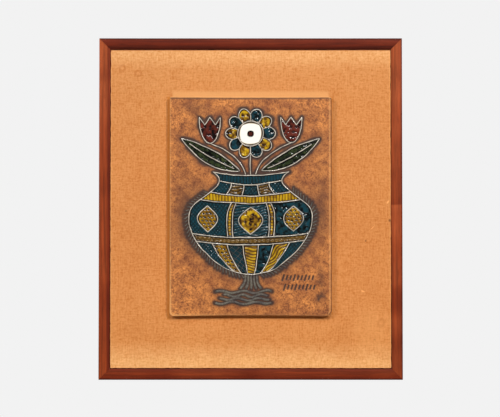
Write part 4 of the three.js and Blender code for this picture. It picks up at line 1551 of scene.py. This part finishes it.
@operator("Clay tile")
class PLAQUE_OT_tile(bpy.types.Operator):
    """The bare clay of the tile: its face, paler edges, scratches, fringe, foot and ground strokes"""

    bl_idname = "plaque.tile"

    def execute(self, context):
        sizes, colours = context.scene.plaque_sizes, context.scene.plaque_colours
        plan = relief_plan(sizes)
        clay, stain = tuple(colours.clay), tuple(colours.stain)
        points, faces, values = self.slab(plan, sizes)
        material = clay_material(clay, stain)
        piece = make_piece("clay_tile", on_tile(plan, points), faces, material, values)
        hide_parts("ceramic_tile")
        width, rise = sizes.stroke_width, sizes.stroke_height
        strokes = (
            ("clay_fringe", fringe_paths(plan, sizes), 1.15, tuple(colours.bare), 0.12),
            ("clay_foot", foot_paths(plan), 2.2, tuple(colours.bare), 0.0),
        )
        for name, paths, scale, colour, soot in strokes:
            points, faces = joined([
                trail(path, width * scale, rise, plan.face, seed=k % 7, spacing=0.7 * MM)
                for k, path in enumerate(paths)
            ])
            crest = (points[:, 2] - plan.face) / rise
            shade = np.clip(1.2 - 1.35 * crest, 0, 1)
            material = clay_material(colour, stain, name, soot)
            attributes = {"stain": shade, "worn": np.clip(crest - 0.8, 0, 1) * 0.8}
            make_piece(name, on_tile(plan, by_hand(points)), faces, material, attributes)
        return {"FINISHED"}

    def slab(self, plan, sizes):
        """The tile as one closed skin, with its stain, its paler rim and a painted shade along its bottom
        edge. Its face is a grid bent into the rounded corners, which falls away at the edge as a quarter
        circle, rises and falls by noise, and dips along the scratches."""
        arris = sizes.tile_arris
        grid_x, grid_y = np.meshgrid(*self.grid_lines(plan, arris), indexing="ij")
        x, y = self.bent(plan, grid_x, grid_y)
        flat = np.stack([x.ravel(), y.ravel()], -1)
        edge = np.minimum(plan.half_width - np.abs(grid_x), plan.half_height - np.abs(grid_y))
        cut = self.scratched(plan, flat)
        drop = np.clip(arris - edge, 0, arris)
        height = plan.face - (arris - np.sqrt(np.maximum(arris**2 - drop**2, 0)))
        calm = np.clip(edge / (3 * MM), 0, 1)
        rough = 0.1 * layered_noise(x, y, 9 * MM, 151, 3) + 0.05 * value_noise(x, y, 1.6 * MM, 155)
        height += MM * rough * calm
        height -= SCRATCH_DEPTH * cut.reshape(x.shape)
        points, faces = patch(x, y, height, 0.0)
        extra = len(points) - len(flat)
        low_left = np.hypot(flat[:, 0] + plan.half_width, flat[:, 1] + plan.half_height)
        edges = SimpleNamespace(
            nearest=edge.ravel(),
            top=plan.half_height - grid_y.ravel(),
            right=plan.half_width - grid_x.ravel(),
            low_left=fading(low_left, 60 * MM),
            bottom=fading(plan.half_height + grid_y.ravel(), 3 * MM),
        )
        stain = self.stained(plan, sizes, flat, edges) + 2.4 * cut
        values = {
            "stain": np.concatenate([np.clip(stain, 0, 1), np.full(extra, 0.35)]),
            "worn": np.concatenate([self.paler_rim(edges), np.zeros(extra)]),
        }
        return points, faces, values

    def grid_lines(self, plan, arris):
        """Where the grid has lines, across and up: close together round the edge, and finer where the
        relief or the scratches lie."""
        rim = np.array([0, 0.15, 0.4, 0.7]) * arris
        def rimmed(half, fine_start, fine_end, fine, coarse):
            lines = graded(arris - half, half - arris, fine_start, fine_end, fine, coarse)
            return np.concatenate([-half + rim, lines, (half - rim)[::-1]])
        across, up = plan.across, plan.up
        u = rimmed(plan.half_width, across(-0.52), across(0.93), 0.72 * MM, 1.3 * MM)
        v = rimmed(plan.half_height, up(-1), up(-0.66), 0.62 * MM, 1.25 * MM)
        return u, v

    def bent(self, plan, x, y):
        """The grid's places with its corners rounded, and its top and bottom edges bowed inwards as
        parabolas."""
        half_x, half_z = plan.half_width, plan.half_height
        for (side, end), radius in CORNERS.items():
            away_x, away_y = side * x - (half_x - radius), end * y - (half_z - radius)
            inside = (away_x > 0) & (away_y > 0)
            reach = np.maximum(away_x, away_y)
            scale = np.where(inside, reach / np.maximum(np.hypot(away_x, away_y), 1e-9), 1)
            x = np.where(inside, side * (half_x - radius + away_x * scale), x)
            y = np.where(inside, end * (half_z - radius + away_y * scale), y)
        bow = np.where(y > 0, TOP_BOW, BOTTOM_BOW)
        return x, y * (1 - bow / half_z * (1 - (x / half_x) ** 2))

    def beside_relief(self, plan, sizes, flat):
        """Oxide beside the trailed lines, the fringe and the foot, less of it further away."""
        def away_from(paths, spacing=2 * MM):
            marks = [resampled(path, spacing, closed) for path, closed in paths]
            return nearest(flat, by_hand(np.concatenate(marks)))
        near_lines = away_from(slip_paths(plan), 1.4 * MM)
        near_fringe = away_from([(path, False) for path in fringe_paths(plan, sizes)])
        near_foot = away_from([(path, False) for path in foot_paths(plan)])
        reach = MM * (3.0 + 1.3 * layered_noise(flat[:, 0], flat[:, 1], 9 * MM, 171, 2))
        lines = 1.3 * bell(near_lines, reach) + 0.45 * fading(near_lines, 8 * MM)
        fringe = 1.1 * bell(near_fringe, 2.2 * MM) + 0.58 * fading(near_fringe, 11 * MM)
        foot = 1.2 * bell(near_foot, 3 * MM) + 0.35 * fading(near_foot, 10 * MM)
        return np.maximum(lines, np.maximum(fringe, foot))

    def stained(self, plan, sizes, flat, edges):
        """How much oxide lies at each point: all over under the pot, beside the relief, in soft clouds, in
        a blotch at the lower right, and along the top and right edges. The darkening along the bottom edge
        is painted shade."""
        across, up = plan.across, plan.up
        clouds = (
            0.3 * cloud(flat, (across(-0.8), up(1)), (20 * MM, 9 * MM))
            + 0.27 * cloud(flat, (across(-0.95), 0), (22 * MM, 70 * MM))
            + 0.3 * cloud(flat, (across(1.02), up(0.1)), (12 * MM, 60 * MM))
            + 0.1 * fading(np.hypot(flat[:, 0] - across(1), flat[:, 1] - up(-0.98)), 18 * MM)
        )
        blotch = 0.4 * cloud(flat, (across(0.985), up(-0.91)), (7 * MM, 8 * MM))
        blotch += 0.3 * cloud(flat, (across(0.985), up(-0.75)), (7 * MM, 24 * MM))
        blotch *= 0.9 + 0.8 * layered_noise(flat[:, 0], flat[:, 1], 5 * MM, 181, 3)
        edge_stain_and_shade = 0.95 * bell(edges.top - 2.1 * MM, 1.0 * MM) + 0.6 * bell(edges.right, 1.1 * MM)
        # Painted shade along the bottom edge, away from the lower left.
        edge_stain_and_shade += 0.35 * edges.bottom * (1 - edges.low_left)
        level = (flat[:, 1] > plan.foot.at) & (flat[:, 1] < plan.rim.at)
        in_pot = level & (np.abs(flat[:, 0]) < pot_half(plan, flat[:, 1]))
        return np.where(in_pot, 1, self.beside_relief(plan, sizes, flat) + clouds + blotch + edge_stain_and_shade)

    def paler_rim(self, edges):
        """How much paler the clay is made: round the rim, wider at the lower left and less along the
        bottom, along the top, and in a line just inside the right edge."""
        bottom = edges.bottom * (1 - edges.low_left)
        rim = bell(edges.nearest, MM * (1.2 + 1.4 * edges.low_left))
        rim *= 0.6 + 0.4 * edges.low_left - 0.6 * bottom
        rim *= np.clip((edges.right - 2 * MM) / (2 * MM), 0, 1)
        line = 0.55 * bell(edges.right - 2.4 * MM, 0.9 * MM)
        return np.maximum(np.maximum(rim, bell(edges.top, 1.1 * MM)), line)

    def scratched(self, plan, flat):
        """1 along the middle of each scratch, falling off as a bell curve across it."""
        cut = np.zeros(len(flat))
        for start, end in scratch_segments(plan):
            along = end - start
            share = np.clip((flat - start) @ along / (along @ along), 0, 1)
            away = np.linalg.norm(flat - start - share[:, None] * along, axis=1)
            cut = np.maximum(cut, bell(away, SCRATCH_WIDTH))
        return cut


# The deep and bright tone of each glaze, how rough it is, and how far its colour breaks up.
GLAZE_LOOKS = {
    "teal": (tone(6, 13, 14), tone(18, 57, 68), 0.12, 0.55),
    "mustard": (tone(50, 28, 10), tone(188, 150, 24), 0.14, 0.6),
    "amber": (tone(30, 20, 10), tone(110, 80, 26), 0.14, 0.5),
    "green": (tone(14, 18, 10), tone(54, 64, 34), 0.12, 0.6),
    "white": (tone(176, 150, 118), tone(243, 241, 230), 0.1, 0.1),
    "red": (tone(26, 10, 10), tone(98, 40, 30), 0.12, 0.5),
}


@operator("Glazes")
class PLAQUE_OT_glazes(bpy.types.Operator):
    """Every pool of glaze inside the trailed lines, one object for each colour"""

    bl_idname = "plaque.glazes"

    def execute(self, context):
        sizes, colours = context.scene.plaque_sizes, context.scene.plaque_colours
        plan = relief_plan(sizes)
        for glaze, look in GLAZE_LOOKS.items():
            made = [glazed(plan, *pool) for pool in pools_of(plan, glaze)]
            points, faces = joined([some[:2] for some in made])
            shade = np.concatenate([some[2] for some in made])
            name = f"glaze_{glaze}"
            material = glaze_material(name, tuple(getattr(colours, glaze)), *look)
            placed = on_tile(plan, by_hand(points))
            make_piece(name, placed, faces, material, {"pool": shade}, 60)
        return {"FINISHED"}


@operator("Trailed lines")
class PLAQUE_OT_lines(bpy.types.Operator):
    """The raised lines of pale clay that hold the glazes apart"""

    bl_idname = "plaque.lines"

    def execute(self, context):
        sizes, colours = context.scene.plaque_sizes, context.scene.plaque_colours
        plan = relief_plan(sizes)
        width, rise = sizes.line_width, sizes.line_height
        beads = [
            trail(path, width, rise, plan.face, closed, k % 11)
            for k, (path, closed) in enumerate(slip_paths(plan))
        ]
        beads += [
            trail(path, 0.5 * width, 0.75 * rise, plan.face, seed=k)
            for k, path in enumerate(hatching_paths(plan))
        ]
        points, faces = joined(beads)
        values = {"side": np.clip(1 - (points[:, 2] - plan.face) / rise, 0, 1)}
        material = slip_material(tuple(colours.slip), tuple(colours.stain))
        placed = on_tile(plan, by_hand(points))
        make_piece("slip_lines", placed, faces, material, values)
        return {"FINISHED"}


@operator("Hanger")
class PLAQUE_OT_hanger(bpy.types.Operator):
    """The toothed plate and its pins on the back of the top rail"""

    bl_idname = "plaque.hanger"

    def execute(self, context):
        steel = steel_material()
        for name in ("hanger_plate", "hanger_pin_left", "hanger_pin_right"):
            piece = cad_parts[name]
            piece.data.materials.clear()
            piece.data.materials.append(steel)
        return {"FINISHED"}


def area_light(name, place, target, size, power):
    """A square lamp turned to a target."""
    light = bpy.data.lights.new(name, "AREA")
    light.size = size
    light.energy = power
    lamp = bpy.data.objects.new(name, light)
    lamp.location = place
    lamp.rotation_euler = (Vector(target) - Vector(place)).to_track_quat("-Z", "Y").to_euler()
    bpy.context.scene.collection.objects.link(lamp)


@operator("Studio")
class PLAQUE_OT_studio(bpy.types.Operator):
    """Pale floor, four soft lamps, plain surroundings and the camera"""

    bl_idname = "plaque.studio"

    LENS = 107
    SENSOR = 36
    BELOW = math.radians(1.6)
    FLOOR_DROP = 1.0
    FLOOR_HALF = 2.0
    BACKGROUND = tone(242, 242, 242)
    AMBIENT = 0.1

    def execute(self, context):
        scene = context.scene
        scene.view_settings.view_transform = "Standard"
        middle = FRAME_MIDDLE.copy()
        middle.y = RAIL_BOX["left"][0].y
        self.floor()
        self.lamps(middle)
        self.surroundings(scene)
        self.camera(scene, middle)
        return {"FINISHED"}

    def floor(self):
        """A square sheet, its corners in the plane of the floor."""
        half, level = self.FLOOR_HALF, cad_low.z - self.FLOOR_DROP
        corners = [(-half, -half), (half, -half), (half, half), (-half, half)]
        mesh = bpy.data.meshes.new("floor")
        mesh.from_pydata([(x, y, level) for x, y in corners], [], [(0, 1, 2, 3)])
        material, tree, shader = new_material("floor", Roughness=0.8)
        shade = noise(tree, object_place(tree), 3.0, 2)
        tree.links.new(ramp(tree, shade, [(0.3, 0.78), (0.7, 0.82)]), shader.inputs["Base Color"])
        mesh.materials.append(material)
        sheet = bpy.data.objects.new("floor", mesh)
        bpy.context.scene.collection.objects.link(sheet)

    def lamps(self, middle):
        """A crisp lamp at the right, a softer one at the left, one above, and one behind."""
        lamps = (
            ("lamp_right", (1.9, -2.8, 1.55), 0.3, 82),
            ("lamp_left", (-2.5, -2.6, 1.45), 0.7, 62),
            ("lamp_above", (0, -2.6, 2.1), 0.6, 40),
            ("lamp_behind", (0.6, 2.6, 1.4), 1.8, 70),
        )
        for name, offset, size, power in lamps:
            area_light(name, tuple(middle + Vector(offset)), tuple(middle), size, power)

    def surroundings(self, scene):
        """The background seen by the camera, and dimmer light all round the plaque."""
        world = bpy.data.worlds.new("surroundings")
        scene.world = world
        world.use_nodes = True
        tree = world.node_tree
        seen = tree.nodes["Background"]
        seen.inputs["Color"].default_value = (*self.BACKGROUND, 1)
        dim = node(tree, "ShaderNodeBackground", {"Color": (1, 1, 1, 1), "Strength": self.AMBIENT})
        camera_ray = node(tree, "ShaderNodeLightPath").outputs["Is Camera Ray"]
        both = node(tree, "ShaderNodeMixShader", {0: camera_ray})
        tree.links.new(dim.outputs[0], both.inputs[1])
        tree.links.new(seen.outputs[0], both.inputs[2])
        tree.links.new(both.outputs[0], tree.nodes["World Output"].inputs["Surface"])

    def camera(self, scene, middle):
        """Straight in front and a little below, at the distance that makes one of the photograph's
        pixels cover its share of the plaque."""
        data = bpy.data.cameras.new("camera")
        data.lens = self.LENS
        data.sensor_width = self.SENSOR
        camera = bpy.data.objects.new("camera", data)
        distance = PHOTO_WIDTH * PHOTO_SCALE * self.LENS / self.SENSOR
        aim = middle.copy()
        aim.x -= (PLAQUE_PIXEL[0] - PHOTO_WIDTH / 2) * PHOTO_SCALE
        aim.z += (PLAQUE_PIXEL[1] - PHOTO_HEIGHT / 2) * PHOTO_SCALE
        offset = Vector((0, -math.cos(self.BELOW), -math.sin(self.BELOW))) * distance
        camera.location = aim + offset
        camera.rotation_euler = (-offset).to_track_quat("-Z", "Y").to_euler()
        scene.collection.objects.link(camera)
        scene.camera = camera


STEPS = ("studio", "rails", "linen", "board", "tile", "glazes", "lines", "hanger")


class PLAQUE_PT_panel(bpy.types.Panel):
    """Sizes, colours and steps of the plaque"""

    bl_idname = "PLAQUE_PT_panel"
    bl_label = "Plaque"
    bl_space_type = "VIEW_3D"
    bl_region_type = "UI"
    bl_category = "Plaque"

    def draw(self, context):
        for group in (context.scene.plaque_sizes, context.scene.plaque_colours):
            box = self.layout.box()
            for key in group.__annotations__:
                box.prop(group, key)
        for step in STEPS:
            self.layout.operator(f"plaque.{step}")


CLASSES.append(PLAQUE_PT_panel)


def register():
    for cls in CLASSES:
        bpy.utils.register_class(cls)
    bpy.types.Scene.plaque_sizes = bpy.props.PointerProperty(type=PlaqueSizes)
    bpy.types.Scene.plaque_colours = bpy.props.PointerProperty(type=PlaqueColours)


def unregister():
    del bpy.types.Scene.plaque_sizes
    del bpy.types.Scene.plaque_colours
    for cls in reversed(CLASSES):
        bpy.utils.unregister_class(cls)


def main():
    register()
    for step in STEPS:
        getattr(bpy.ops.plaque, step)()


if __name__ == "__main__":
    main()
